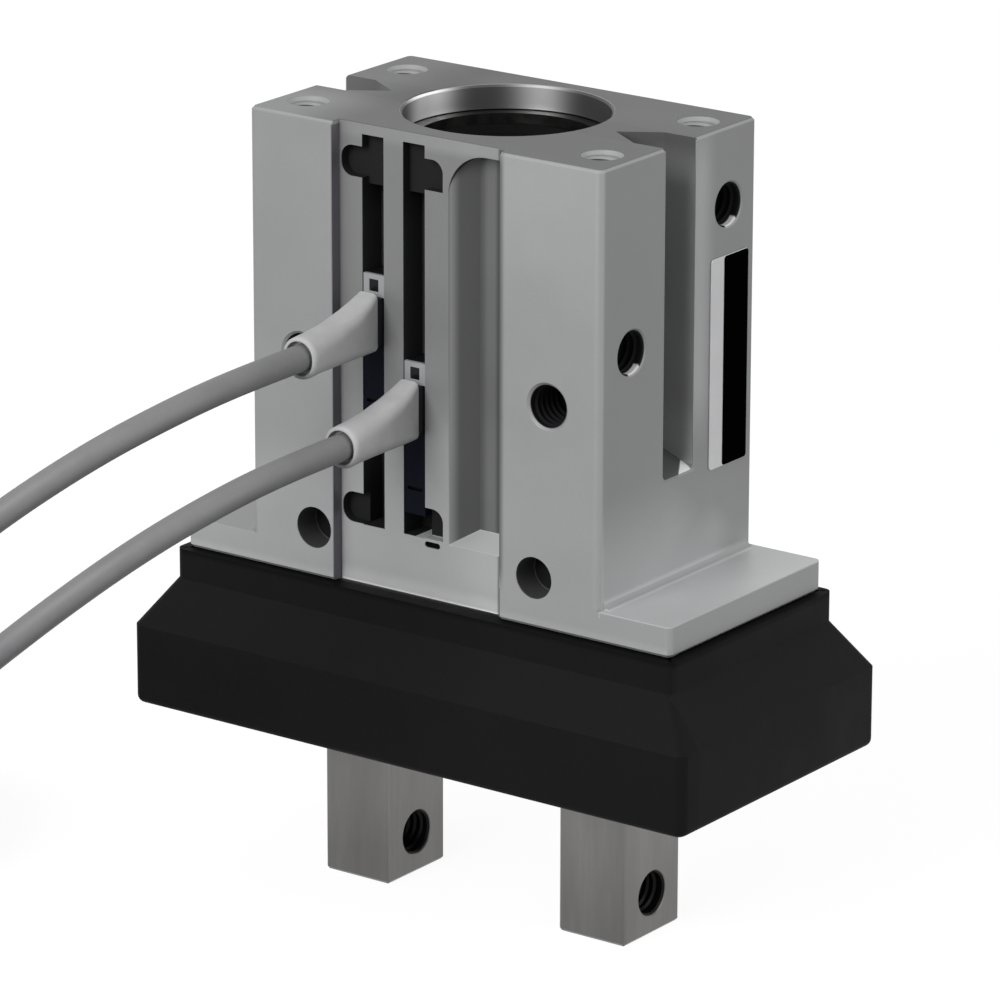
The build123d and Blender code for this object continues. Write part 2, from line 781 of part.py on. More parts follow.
with BuildPart() as end_plate_screws:
    for hand in hands.values():
        for y in (-end_screw_spacing / 2, end_screw_spacing / 2):
            seat = (hand * (channel_end + end_plate_thickness), y, ball_height)
            shank_length = end_screw_length + end_plate_thickness
            round_bar(seat, (-hand, 0, 0), end_screw_radius, shank_length)
            round_bar(seat, (hand, 0, 0), end_screw_head, end_screw_head_height)
finish(end_plate_screws, "end_plate_screws")

# Fingers: a prong below a carriage that has ball tracks and a notch for its lever
for name, hand in hands.items():
    with BuildPart() as finger:
        with BuildSketch():
            with Locations((hand * finger_middle, 0)):
                Rectangle(finger_width, finger_depth)
        extrude(amount=carriage_bottom)
        chamfer(edges().filter_by(Axis.Z) + faces().sort_by(Axis.Z)[0].edges(), finger_edge)
        box_between(
            (hand * carriage_inner, -carriage_depth / 2, carriage_bottom),
            (hand * carriage_outer, carriage_depth / 2, carriage_top),
        )
        notch_bottom = pivot_height - finger_arm - tip_radius - notch_room
        box_between(
            (hand * (finger_tip[0] - tip_slot), axis_y - lever_slot, notch_bottom),
            (hand * (finger_tip[0] + tip_slot), axis_y + lever_slot, carriage_top), Mode.SUBTRACT,
        )
        for track in (-ball_track, ball_track):
            round_bar(
                (hand * carriage_inner, track, ball_height), (hand, 0, 0),
                ball_radius + ball_fit, carriage_outer - carriage_inner, Mode.SUBTRACT,
            )
        for face_x, inward in (
            (finger_inner, 1), (finger_inner + finger_width, -1)
        ):
            tapped_hole(
                (hand * face_x, 0, finger_thread_height), (hand * inward, 0, 0), thread_radius,
                thread_mouth, finger_width / 2,
            )
    finish(finger, f"finger_{name}")

    with BuildPart() as guide_balls:
        for track in (-ball_track, ball_track):
            for step in range(ball_count):
                x = hand * (ball_row_middle + (step - (ball_count - 1) / 2) * ball_pitch)
                with Locations((x, track, ball_height)):
                    Sphere(ball_radius)
    finish(guide_balls, f"guide_balls_{name}")

# Dust cover: collar, sloping shoulder and skirt in one thin shell round the guide
collar_size = (collar_length, collar_depth)
skirt_size = (skirt_length, skirt_depth)
with BuildPart() as dust_cover:
    rounded_slab(skirt_size, skirt_corner, cover_bottom, skirt_top - cover_bottom)
    fillet(faces().sort_by(Axis.Z)[0].edges(), cover_edge)
    rounded_taper(skirt_size, skirt_corner, skirt_top, collar_size, collar_corner, collar_bottom)
    rounded_slab(collar_size, collar_corner, collar_bottom, cover_top - collar_bottom)

    inner_collar = shrunk(collar_size, cover_wall)
    inner_skirt = shrunk(skirt_size, cover_wall)
    rounded_slab(
        inner_skirt, cover_inner_corner, floor_top, skirt_top - floor_top, Mode.SUBTRACT
    )
    lip_share = (lip_top - lip_height - skirt_top) / (collar_bottom - skirt_top)
    lip_level = tuple(
        low + (high - low) * lip_share for low, high in zip(inner_skirt, inner_collar)
    )
    rounded_taper(
        inner_skirt, cover_inner_corner, skirt_top, lip_level, cover_inner_corner,
        lip_top - lip_height, Mode.SUBTRACT,
    )
    rounded_slab(
        shrunk(inner_collar, lip_reach), cover_inner_corner, lip_top - lip_height, lip_height,
        Mode.SUBTRACT,
    )
    rounded_slab(inner_collar, cover_inner_corner, lip_top, cover_top - lip_top, Mode.SUBTRACT)

    # Finger openings with a rim inside and a fold groove round them
    opening_size = (finger_width + 2 * opening_gap, finger_depth + 2 * opening_gap)
    rim_size = shrunk(opening_size, -rim_width)
    fold_size = shrunk(opening_size, -fold_offset)
    for hand in hands.values():
        with BuildSketch(Plane.XY.offset(floor_top)):
            with Locations((hand * finger_middle, 0)):
                RectangleRounded(*rim_size, rim_width)
        extrude(amount=rim_height)
        with BuildSketch(Plane.XY.offset(cover_bottom)):
            with Locations((hand * finger_middle, 0)):
                RectangleRounded(*shrunk(fold_size, -fold_width), fold_offset + fold_width)
                RectangleRounded(*fold_size, fold_offset, mode=Mode.SUBTRACT)
        extrude(amount=fold_depth, mode=Mode.SUBTRACT)
        with BuildSketch(Plane.XY.offset(cover_bottom)):
            with Locations((hand * finger_middle, 0)):
                Rectangle(*opening_size)
        extrude(amount=cover_floor + rim_height, mode=Mode.SUBTRACT)
finish(dust_cover, "dust_cover")

# Switches: a slim body, a pale head with its window, and a clamp screw near the foot
for level in levels:
    centre = groove_centres[level]
    top = switch_tops[level]
    head_foot = top - head_height
    window_half = window_size[0] / 2
    window_low = head_foot + (head_height - window_size[1]) / 2
    with BuildPart() as switch:
        box_between(
            (centre - switch_width / 2, switch_face, top - switch_length),
            (centre + switch_width / 2, switch_back, head_foot),
        )
        round_bar(
            (centre, switch_face, top - switch_length + clamp_screw_up), (0, 1, 0),
            clamp_screw_radius, clamp_screw_depth, Mode.SUBTRACT,
        )
    finish(switch, f"switch_{level}")

    with BuildPart() as switch_head:
        box_between(
            (centre - switch_width / 2, switch_face, head_foot),
            (centre + switch_width / 2, switch_back, top),
        )
        box_between(
            (centre - window_half, switch_face, window_low),
            (centre + window_half, switch_face + window_depth, window_low + window_size[1]),
            Mode.SUBTRACT,
        )
    finish(switch_head, f"switch_head_{level}")

    with BuildPart() as switch_window:
        box_between(
            (centre - window_half, switch_face, window_low),
            (centre + window_half, switch_face + window_depth, window_low + window_size[1]),
        )
    finish(switch_window, f"switch_window_{level}")

with BuildPart() as clamp_screws:
    for level in levels:
        centre = groove_centres[level]
        screw_height = switch_tops[level] - switch_length + clamp_screw_up
        round_bar(
            (centre, switch_face, screw_height), (0, 1, 0), clamp_screw_radius, clamp_screw_depth
        )
        box_between(
            (centre - clamp_screw_radius, switch_face, screw_height - clamp_slot_width / 2),
            (centre + clamp_screw_radius, switch_face + clamp_slot_depth,
             screw_height + clamp_slot_width / 2), Mode.SUBTRACT,
        )
finish(clamp_screws, "clamp_screws")

# Boots: a narrow neck on the switch, then a body that grows rounder towards the lead
for level in levels:
    with BuildPart() as boot:
        sections = (
            (switch_face, boot_root, boot_rounding, 0.0),
            (switch_face - boot_neck, boot_shoulder, boot_rounding, 0.0),
            (boot_end, boot_tail, boot_tail_rounding, boot_drop),
        )
        for start, stop in zip(sections, sections[1:]):
            for section_y, size, rounding, drop in (start, stop):
                with BuildSketch(Plane.XZ.offset(-section_y)):
                    with Locations((groove_centres[level], boot_heights[level] - drop)):
                        RectangleRounded(*size, rounding)
            loft()
        round_bar(
            (groove_centres[level], boot_end, boot_heights[level] - boot_drop), (0, 1, 0),
            mouth_radius, mouth_depth, Mode.SUBTRACT,
        )
    finish(boot, f"boot_{level}")

# Leads: straight runs joined by tangent arcs, and the coils that hold the rest of them
coil_length = coil_layers * coil_turns_beside * 2 * pi * coil_radius
for level in levels:
    route = [Vector(*point) for point in lead_routes[level]]
    runs = [after - before for before, after in zip(route, route[1:])]
    radii = [
        corner_share * min(before.length, after.length)
        / tan(radians(before.get_angle(after)) / 2)
        for before, after in zip(runs, runs[1:])
    ]
    with BuildPart() as lead:
        with BuildLine():
            path = FilletPolyline(*route, radius=radii)
        with BuildSketch(Plane(origin=route[0], z_dir=runs[0])):
            Circle(lead_radius)
        sweep()
    print(
        f"lead_{level}: radii {[round(radius, 1) for radius in radii]}, runs",
        f"{[round(run.length, 1) for run in runs]}, tube {path.length:.1f},",
        f"volume {lead.part.volume:.1f} of {pi * lead_radius ** 2 * path.length:.1f},",
        f"whole {path.length + coil_length:.1f}",
    )
    finish(lead, f"lead_{level}")

    with BuildPart() as lead_coil:
        coil_width = coil_turns_beside * 2 * lead_radius
        ring_plane = Plane(origin=(*coil_centre, 0), x_dir=(1, 0, 0), z_dir=(0, -1, 0))
        with BuildSketch(ring_plane):
            with Locations((coil_radius, coil_floors[level] + coil_height / 2)):
                RectangleRounded(coil_width, coil_height, coil_rounding)
        revolve(axis=Axis((*coil_centre, 0), (0, 0, 1)))
    finish(lead_coil, f"lead_coil_{level}")

# Label between the two ports
with BuildPart() as label_plate:
    with BuildSketch(Plane.YZ.offset(side)):
        with Locations(label_middle):
            RectangleRounded(*label_size, label_rounding)
    extrude(amount=label_thickness)
finish(label_plate, "label_plate")
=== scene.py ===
from math import cos, pi, radians, sin, tau

import bmesh
import bpy
from mathutils import Matrix, Vector


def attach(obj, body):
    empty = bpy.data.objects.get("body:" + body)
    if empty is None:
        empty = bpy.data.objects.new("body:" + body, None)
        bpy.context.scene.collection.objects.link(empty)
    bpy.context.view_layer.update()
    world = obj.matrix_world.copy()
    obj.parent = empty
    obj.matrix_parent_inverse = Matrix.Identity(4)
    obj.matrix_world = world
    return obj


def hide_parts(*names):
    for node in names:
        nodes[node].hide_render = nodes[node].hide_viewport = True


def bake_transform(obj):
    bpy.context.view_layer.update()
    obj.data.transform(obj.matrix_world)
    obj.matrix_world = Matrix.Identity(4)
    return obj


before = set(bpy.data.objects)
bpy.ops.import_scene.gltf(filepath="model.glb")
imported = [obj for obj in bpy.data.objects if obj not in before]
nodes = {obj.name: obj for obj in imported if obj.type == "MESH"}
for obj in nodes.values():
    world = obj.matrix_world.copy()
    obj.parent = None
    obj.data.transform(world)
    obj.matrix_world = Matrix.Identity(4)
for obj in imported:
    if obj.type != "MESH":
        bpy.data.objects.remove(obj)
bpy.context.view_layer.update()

mm = 0.001

# Camera, fitted to the corners of the body
cameraView = {
    "azimuth": 36.075, "elevation": 17.647, "roll": 0.124,
    "aim": (0.0, 0.0, 45.0), "distance": 639.45, "right": 0.155, "up": 3.322,
    "lens": 234.0, "sensor": 36.0,
}


# Which way a place at this azimuth and elevation lies, in degrees
def towards(azimuth, elevation):
    turn, rise = radians(azimuth), radians(elevation)
    return Vector((sin(turn) * cos(rise), -cos(turn) * cos(rise), sin(rise)))


def placeCamera():
    view = cameraView
    turn, roll = radians(view["azimuth"]), radians(view["roll"])
    back = towards(view["azimuth"], view["elevation"])
    level = Vector((cos(turn), sin(turn), 0))
    upright = back.cross(level)
    across = level * cos(roll) + upright * sin(roll)
    above = upright * cos(roll) - level * sin(roll)
    place = Vector(view["aim"]) - across * view["right"] - above * view["up"] + back * view["distance"]
    data = bpy.data.cameras.new("photoCamera")
    data.lens = view["lens"]
    data.sensor_width = view["sensor"]
    camera = bpy.data.objects.new("photoCamera", data)
    facing = Matrix((across, above, back)).transposed().to_4x4()
    camera.matrix_world = Matrix.Translation(place * mm) @ facing
    bpy.context.collection.objects.link(camera)
    bpy.context.scene.camera = camera


placeCamera()
print("camera placed")


# Node helpers: every pattern is laid out in millimetres of the object itself
patternLook = {
    "cloudDetail": 4.0, "grainDetail": 2.0, "roughness": 0.6,
    "cloudRange": (0.3, 0.7), "grainRange": (0.35, 0.65),
}
# What a finish has unless its own dictionary says otherwise
usualLook = {
    "metal": 0.0, "specular": 0.5, "brushed": 0.0, "stretch": (1, 1, 1), "roughSpread": 0.05,
    "fleckShare": 0.15, "fleckLevel": 0.7, "bump": 0.2, "bumpDepth": 0.02,
}
crispEdge = (0.05, 0.05, 0.05)


def addNode(tree, kind, **settings):
    node = tree.nodes.new(kind)
    for key, value in settings.items():
        setattr(node, key, value)
    return node


def mathNode(tree, operation, first, second=None, third=None):
    node = addNode(tree, "ShaderNodeMath", operation=operation)
    for socket, value in zip(node.inputs, (first, second, third)):
        if value is None:
            continue
        if isinstance(value, (int, float)):
            socket.default_value = value
        else:
            tree.links.new(value, socket)
    return node.outputs[0]


def vectorNode(tree, operation, vector, amount=None):
    node = addNode(tree, "ShaderNodeVectorMath", operation=operation)
    tree.links.new(vector, node.inputs[0])
    if amount is not None:
        node.inputs[1].default_value = amount
    return node.outputs[0]


def scaledColour(tree, colour, factor):
    node = addNode(tree, "ShaderNodeVectorMath", operation="SCALE")
    tree.links.new(colour, node.inputs[0])
    tree.links.new(factor, node.inputs["Scale"])
    return node.outputs[0]


# The three sockets with a vector's X, Y and Z
def separated(tree, vector):
    node = addNode(tree, "ShaderNodeSeparateXYZ")
    tree.links.new(vector, node.inputs[0])
    return node.outputs


# Object coordinates in millimetres, stretched along the way that a finish runs.
def millimetres(tree, stretch=(1, 1, 1)):
    place = addNode(tree, "ShaderNodeTexCoord")
    mapping = addNode(tree, "ShaderNodeMapping")
    mapping.inputs["Scale"].default_value = [share / mm for share in stretch]
    tree.links.new(place.outputs["Object"], mapping.inputs["Vector"])
    return mapping.outputs["Vector"]


def noise(tree, place, size, detail):
    node = addNode(tree, "ShaderNodeTexNoise")
    node.inputs["Scale"].default_value = 1 / size
    node.inputs["Detail"].default_value = detail
    node.inputs["Roughness"].default_value = patternLook["roughness"]
    tree.links.new(place, node.inputs["Vector"])
    return node.outputs["Fac"]


def ranged(tree, value, low, high, start, stop):
    node = addNode(tree, "ShaderNodeMapRange", interpolation_type="SMOOTHSTEP")
    for key, number in (("From Min", low), ("From Max", high), ("To Min", start), ("To Max", stop)):
        node.inputs[key].default_value = number
    tree.links.new(value, node.inputs["Value"])
    return node.outputs["Result"]


# The highest of several values, which for masks is where any of them is
def highest(tree, values):
    found, *others = values
    for value in others:
        found = mathNode(tree, "MAXIMUM", found, value)
    return found


# 1 inside a box given in millimetres, 0 outside it, with an edge as soft as said for each axis.
def boxMask(tree, place, low, high, soft=crispEdge):
    middle = [(a + b) / 2 for a, b in zip(low, high)]
    half = [(b - a) / 2 for a, b in zip(low, high)]
    folded = vectorNode(tree, "ABSOLUTE", vectorNode(tree, "SUBTRACT", place, middle))
    beyond = vectorNode(tree, "SUBTRACT", folded, half)
    parts = separated(tree, vectorNode(tree, "DIVIDE", beyond, soft))
    return ranged(tree, highest(tree, parts), -1, 1, 1, 0)


# The same box, given by its middle and half its size
def cellMask(tree, place, middle, half, soft=crispEdge):
    low = [m - h for m, h in zip(middle, half)]
    high = [m + h for m, h in zip(middle, half)]
    return boxMask(tree, place, low, high, soft)


# The left half laid over the right one, so that one mask serves both sides
def foldedAcross(tree, place):
    parts = separated(tree, place)
    joined = addNode(tree, "ShaderNodeCombineXYZ")
    tree.links.new(mathNode(tree, "ABSOLUTE", parts[0]), joined.inputs[0])
    for index in (1, 2):
        tree.links.new(parts[index], joined.inputs[index])
    return joined.outputs[0]


# Blend two colours, given as sockets or as plain colours. Inputs 6 and 7 are the node's colours.
def mixed(tree, share, first, second):
    node = addNode(tree, "ShaderNodeMix", data_type="RGBA")
    tree.links.new(share, node.inputs[0])
    for socket, value in ((node.inputs[6], first), (node.inputs[7], second)):
        if isinstance(value, (tuple, list)):
            socket.default_value = (*value, 1)
        else:
            tree.links.new(value, socket)
    return node.outputs[2]


def shaded(colour, amount):
    return tuple(channel * amount for channel in colour)


def feedShader(material, socket, value):
    tree = material.node_tree
    tree.links.new(value, tree.nodes["Principled BSDF"].inputs[socket])


# A finish with cloudy colour, uneven gloss and a fine bump, all from one dictionary.
def plainFinish(name, ownLook):
    look = {**usualLook, **ownLook}
    material = bpy.data.materials.new(name)
    material.use_nodes = True
    tree = material.node_tree
    shader = tree.nodes["Principled BSDF"]
    shader.inputs["Metallic"].default_value = look["metal"]
    shader.inputs["Specular IOR Level"].default_value = look["specular"]
    shader.inputs["Anisotropic"].default_value = look["brushed"]
    place = millimetres(tree, look["stretch"])
    cloud = noise(tree, place, look["cloudSize"], patternLook["cloudDetail"])
    grain = noise(tree, place, look["grainSize"], patternLook["grainDetail"])
    clouds = ranged(tree, cloud, *patternLook["cloudRange"], 0, 1)
    darker, lighter = (shaded(look["colour"], 1 + way * look["cloudShare"]) for way in (-1, 1))
    colour = mixed(tree, clouds, darker, lighter)
    flecks = ranged(tree, grain, *patternLook["grainRange"], 0, look["fleckShare"])
    colour = mixed(tree, flecks, colour, shaded(look["colour"], look["fleckLevel"]))
    smooth, rough = (look["rough"] + way * look["roughSpread"] for way in (-1, 1))
    gloss = ranged(tree, cloud, *patternLook["cloudRange"], smooth, rough)
    bump = addNode(tree, "ShaderNodeBump")
    bump.inputs["Strength"].default_value = look["bump"]
    bump.inputs["Distance"].default_value = look["bumpDepth"] * mm
    tree.links.new(grain, bump.inputs["Height"])
    feedShader(material, "Base Color", colour)
    feedShader(material, "Roughness", gloss)
    feedShader(material, "Normal", bump.outputs[0])
    return material, colour, gloss


# Give a CAD node its finish.
def dress(node, material):
    obj = nodes[node]
    if not obj.material_slots:
        obj.data.materials.append(material)
    for slot in obj.material_slots:
        slot.material = material


# Anodised body: painted light and shade, shade painted in slots and holes, painted glints and bore
# reflections
anodised = {
    "colour": (0.318, 0.320, 0.323), "metal": 0.35, "rough": 0.48, "roughSpread": 0.04,
    "specular": 0.12, "cloudSize": 14.0, "cloudShare": 0.035, "grainSize": 0.16,
    "fleckShare": 0.12, "fleckLevel": 0.8, "bump": 0.16, "bumpDepth": 0.02,
    # painted light and shade: each box lightens or darkens the colour where light falls or shade lies
    # low and high corner, axis, start and stop of the fade, tone at either end, soft edges if any
    "paintedLight": (
        # middle, left and right front
        ((-10.85, -11.9, 34.4), (9.2, -11.7, 81.1), 2, 38.0, 62.0, 1.3, 0.66),
        ((-29.5, -13.1, 34.7), (-10.9, -12.9, 81.1), 2, 43.0, 50.0, 1.12, 0.93),
        ((9.2, -13.1, 37.0), (21.1, -12.9, 81.1), 2, 60.0, 78.0, 1.0, 1.06),
        # top, its left end, top edge of the middle front
        ((-21.1, -14.0, 80.95), (21.1, 14.0, 81.1), 0, -18.0, -9.0, 0.8, 0.43),
        ((-30.0, -14.0, 80.95), (-9.0, 14.0, 81.1), 1, -7.0, -1.0, 1.0, 0.66, (4.0, 0.05, 0.05)),
        ((-10.85, -11.9, 79.6), (9.2, -11.7, 82.0), 0, -8.0, 6.0, 1.2, 1.34, (0.05, 0.05, 0.6)),
        # port side, then under its label, behind its slot and by the flange
        ((20.95, -13.1, 37.0), (21.1, 13.1, 81.1), 2, 38.5, 50.0, 1.3, 0.80),
        ((20.95, 2.0, 41.5), (21.1, 16.0, 46.0), 1, 0.0, 1.0, 0.8, 0.8, (0.05, 3.5, 3.5)),
        ((20.95, 2.0, 53.0), (21.1, 7.0, 80.5), 1, 3.4, 6.4, 1.42, 1.0, (0.05, 0.05, 4.0)),
        ((20.95, 8.0, 36.0), (21.1, 16.0, 42.5), 1, 0.0, 1.0, 0.74, 0.74, (0.05, 2.5, 2.5)),
        # inside the slots, right and left
        ((10.0, -2.7, 74.0), (20.93, 2.8, 80.97), 2, 76.5, 80.5, 1.0, 0.3),
        ((12.0, 2.3, 48.5), (20.93, 2.8, 57.0), 2, 50.0, 56.0, 1.35, 1.0),
        ((-20.93, -2.8, 74.0), (-10.0, 2.8, 80.97), 2, 76.5, 80.0, 1.0, 0.42),
        # foot of the right groove, top of the flange, corner of the right step
        ((-1.9, -11.7, 40.3), (1.7, -8.6, 40.56), 0, 0.0, 1.0, 2.4, 2.4),
        ((21.1, -13.1, 37.5), (29.4, 13.1, 37.7), 0, 0.0, 1.0, 1.6, 1.6),
        ((7.5, -11.95, 34.4), (9.25, -11.7, 80.9), 0, 8.0, 8.35, 1.0, 0.35),
        # lower edge of the front, feet of the outer and middle fronts, edge of the step
        ((-29.4, -13.2, 34.4), (29.4, -11.5, 34.66), 0, 0.0, 1.0, 1.8, 1.8),
        ((-29.5, -13.2, 34.66), (29.5, -12.9, 37.0), 2, 34.7, 35.8, 1.25, 1.0),
        ((-10.85, -11.9, 34.66), (9.2, -11.7, 37.0), 2, 34.7, 36.4, 1.42, 1.0),
        ((9.1, -13.1, 38.5), (10.4, -12.8, 80.9), 0, 9.2, 9.85, 0.42, 1.0, (0.05, 0.05, 1.5)),
    ),
    # painted shade in bands down the relief's wall, and painted light on the ramp at its foot
    "relief": {"low": (2.25, -11.74, 40.2), "high": (9.15, -9.0, 79.9), "paintedShade": 0.38,
               "rampPaintedLight": 1.5, "foot": 40.3, "face": -11.8, "rise": 0.7536,
               "rampEdge": (0.04, 0.12),
               "paintedBands": ((2.25, 3.2, 2.0, 0.78), (4.7, 5.6, 1.0, 1.6), (6.2, 6.8, 1.0, 0.53))},
    # painted shade on the ramps at the slot ends, and a painted glint at their outer corner
    "slotEnds": {"low": (13.0, -2.7, 47.8), "high": (20.97, 2.7, 51.6), "paintedShade": 0.4,
                 "foot": 48.0, "face": 21.0, "rise": 0.404, "rampEdge": (0.04, 0.1),
                 "slant": 0.6, "cornerEdge": 0.15},
    # shade painted in the switch grooves, then the pockets at their ends: colour along the middle and
    # at the ends
    "slotShadeColours": ((0.032, 0.032, 0.034), (0.013, 0.013, 0.0137)),
    "slotShadeFades": ((71.0, 75.0, 0, 1), (44.0, 47.0, 1, 0)),
    "slots": (
        ((-8.15, -11.74, 40.2), (-5.45, -8.6, 80.0)), ((-3.22, -11.74, 40.2), (-1.8, -8.6, 80.0)),
        ((-1.9, -11.74, 40.56), (-0.52, -8.6, 80.0)), ((-10.65, -11.74, 75.5), (-8.0, -10.4, 78.7)),
        ((-0.62, -11.74, 75.5), (1.63, -10.4, 78.7)), ((-10.65, -11.74, 40.2), (-8.0, -10.4, 43.7)),
        ((-0.62, -11.74, 40.6), (1.63, -10.4, 43.7)),
    ),
    # shade painted on the wall of the left step, and at the foot of the right one
    "steps": (((-10.95, -13.2, 34.4), (-10.75, -11.7, 80.6)), ((9.0, -13.2, 34.4), (9.3, -11.7, 37.7))),
    "stepShadeColour": (0.16, 0.154, 0.172),
    # holes painted dark as shade: each one's middle and half size, and whether it has a twin on the
    # other side
    "holes": (
        ((14.8, -10.3, 56.9), (2.25, 2.45, 2.25), True), ((18.4, 8.2, 73.2), (2.45, 2.25, 2.25), False),
        ((18.4, -7.9, 62.1), (2.45, 2.25, 2.25), False), ((0.3, -11.2, 39.95), (1.0, 0.45, 0.4), False),
    ),
    "holeShadeColour": (0.006, 0.006, 0.007),
    # the holes of the lever pins, painted dark as shade
    "recesses": (((13.3, -11.4, 39.5), (2.2, 1.5, 2.2), True),),
    "recessShadeColour": (0.09, 0.09, 0.092),
    # a painted glint in the foot of each air port
    "glints": (((20.5, 8.8, 71.5), (0.32, 0.85, 0.55)), ((20.5, -7.3, 60.4), (0.32, 0.85, 0.55))),
    "glintEdge": (0.1, 0.1, 0.1), "glintColour": (0.95, 0.95, 0.95), "darkRougher": 0.3,
    # painted reflections, as lobes: where each faces, in degrees, and how strong it is
    "bore": {"radius": 11.3, "axis": (0.0, 0.8), "low": 76.0, "high": 80.88, "wallEdge": 0.02,
             "rimEdge": 0.05, "footEdge": 0.1, "dark": 0.08, "light": 1.0, "metal": 0.6,
             "rougher": -0.1, "lobes": ((176.0, 1.0), (107.0, 0.5)), "sharpness": 18.0},
}


# A factor that changes by a share of itself inside a mask
def changedInside(tree, factor, mask, change):
    return mathNode(tree, "MULTIPLY", factor, mathNode(tree, "MULTIPLY_ADD", mask, change, 1.0))


# Painted light and shade on parts of a piece, each may fade from one value to another along an axis
def paintedLightOver(tree, place, paintedLight):
    parts = separated(tree, place)
    factor = 1.0
    for low, high, axis, start, stop, first, last, *soft in paintedLight:
        inside = boxMask(tree, place, low, high, *soft)
        faded = ranged(tree, parts[axis], start, stop, first - 1, last - 1)
        factor = changedInside(tree, factor, inside, faded)
    return factor


# How high a place lies above a ramp that rises with its depth behind a face
def aboveRamp(tree, ramp, depth, height):
    surface = mathNode(tree, "MULTIPLY_ADD", depth, ramp["rise"], ramp["foot"])
    return mathNode(tree, "SUBTRACT", height, surface)


# The milled relief: painted shade in bands down its wall, and painted light on the ramp at its foot
def reliefPaintedLight(tree, factor, place):
    relief = anodised["relief"]
    parts = separated(tree, place)
    depth = mathNode(tree, "SUBTRACT", parts[1], relief["face"])
    onWall = ranged(tree, aboveRamp(tree, relief, depth, parts[2]), *relief["rampEdge"], 0, 1)
    wall = relief["paintedShade"]
    for fade in relief["paintedBands"]:
        wall = mathNode(tree, "MULTIPLY", ranged(tree, parts[0], *fade), wall)
    wall = mathNode(tree, "SUBTRACT", wall, relief["rampPaintedLight"])
    change = mathNode(tree, "MULTIPLY_ADD", onWall, wall, relief["rampPaintedLight"] - 1)
    return changedInside(tree, factor, boxMask(tree, place, relief["low"], relief["high"]), change)


# The ends of the side slots: one mask for the ramp's painted shade and one for the painted glint at its
# corner
def slotEndMasks(tree, folded):
    ends = anodised["slotEnds"]
    parts = separated(tree, folded)
    depth = mathNode(tree, "SUBTRACT", ends["face"], parts[0])
    ramp = ranged(tree, aboveRamp(tree, ends, depth, parts[2]), *ends["rampEdge"], 1, 0)
    ramp = mathNode(tree, "MULTIPLY", ramp, boxMask(tree, folded, ends["low"], ends["high"]))
    corner = mathNode(tree, "MULTIPLY_ADD", parts[1], ends["slant"], parts[0])
    corner = ranged(tree, corner, ends["face"], ends["face"] + ends["cornerEdge"], 0, 1)
    return ramp, mathNode(tree, "MULTIPLY", ramp, corner)


# A mask for the bore's wall, and the light and dark lobes of a painted reflection round it
def boreMasks(tree, place):
    bore = anodised["bore"]
    parts = separated(tree, place)
    across, along = (mathNode(tree, "SUBTRACT", parts[index], bore["axis"][index]) for index in (0, 1))
    square = mathNode(tree, "MULTIPLY", along, along)
    distance = mathNode(tree, "SQRT", mathNode(tree, "MULTIPLY_ADD", across, across, square))
    inside = ranged(tree, distance, bore["radius"], bore["radius"] + bore["wallEdge"], 1, 0)
    below = ranged(tree, parts[2], bore["high"], bore["high"] + bore["rimEdge"], 1, 0)
    above = ranged(tree, parts[2], bore["low"], bore["low"] + bore["footEdge"], 0, 1)
    inside = mathNode(tree, "MULTIPLY", mathNode(tree, "MULTIPLY", inside, below), above)
    light = 0.0
    for angle, strength in bore["lobes"]:
        turn = radians(angle)
        facing = mathNode(tree, "MULTIPLY", along, sin(turn))
        facing = mathNode(tree, "MULTIPLY_ADD", across, cos(turn), facing)
        facing = mathNode(tree, "DIVIDE", facing, distance)
        lobe = mathNode(tree, "POWER", mathNode(tree, "MAXIMUM", facing, 0.0), bore["sharpness"])
        light = mathNode(tree, "MULTIPLY_ADD", lobe, strength, light)
    return inside, ranged(tree, light, 0.0, 1.0, bore["dark"], bore["light"])


# One mask for small areas of the body, some of which have a twin on the other side
def cellMasks(tree, place, folded, cells):
    return highest(tree, [
        cellMask(tree, folded if paired else place, middle, half) for middle, half, paired in cells
    ])


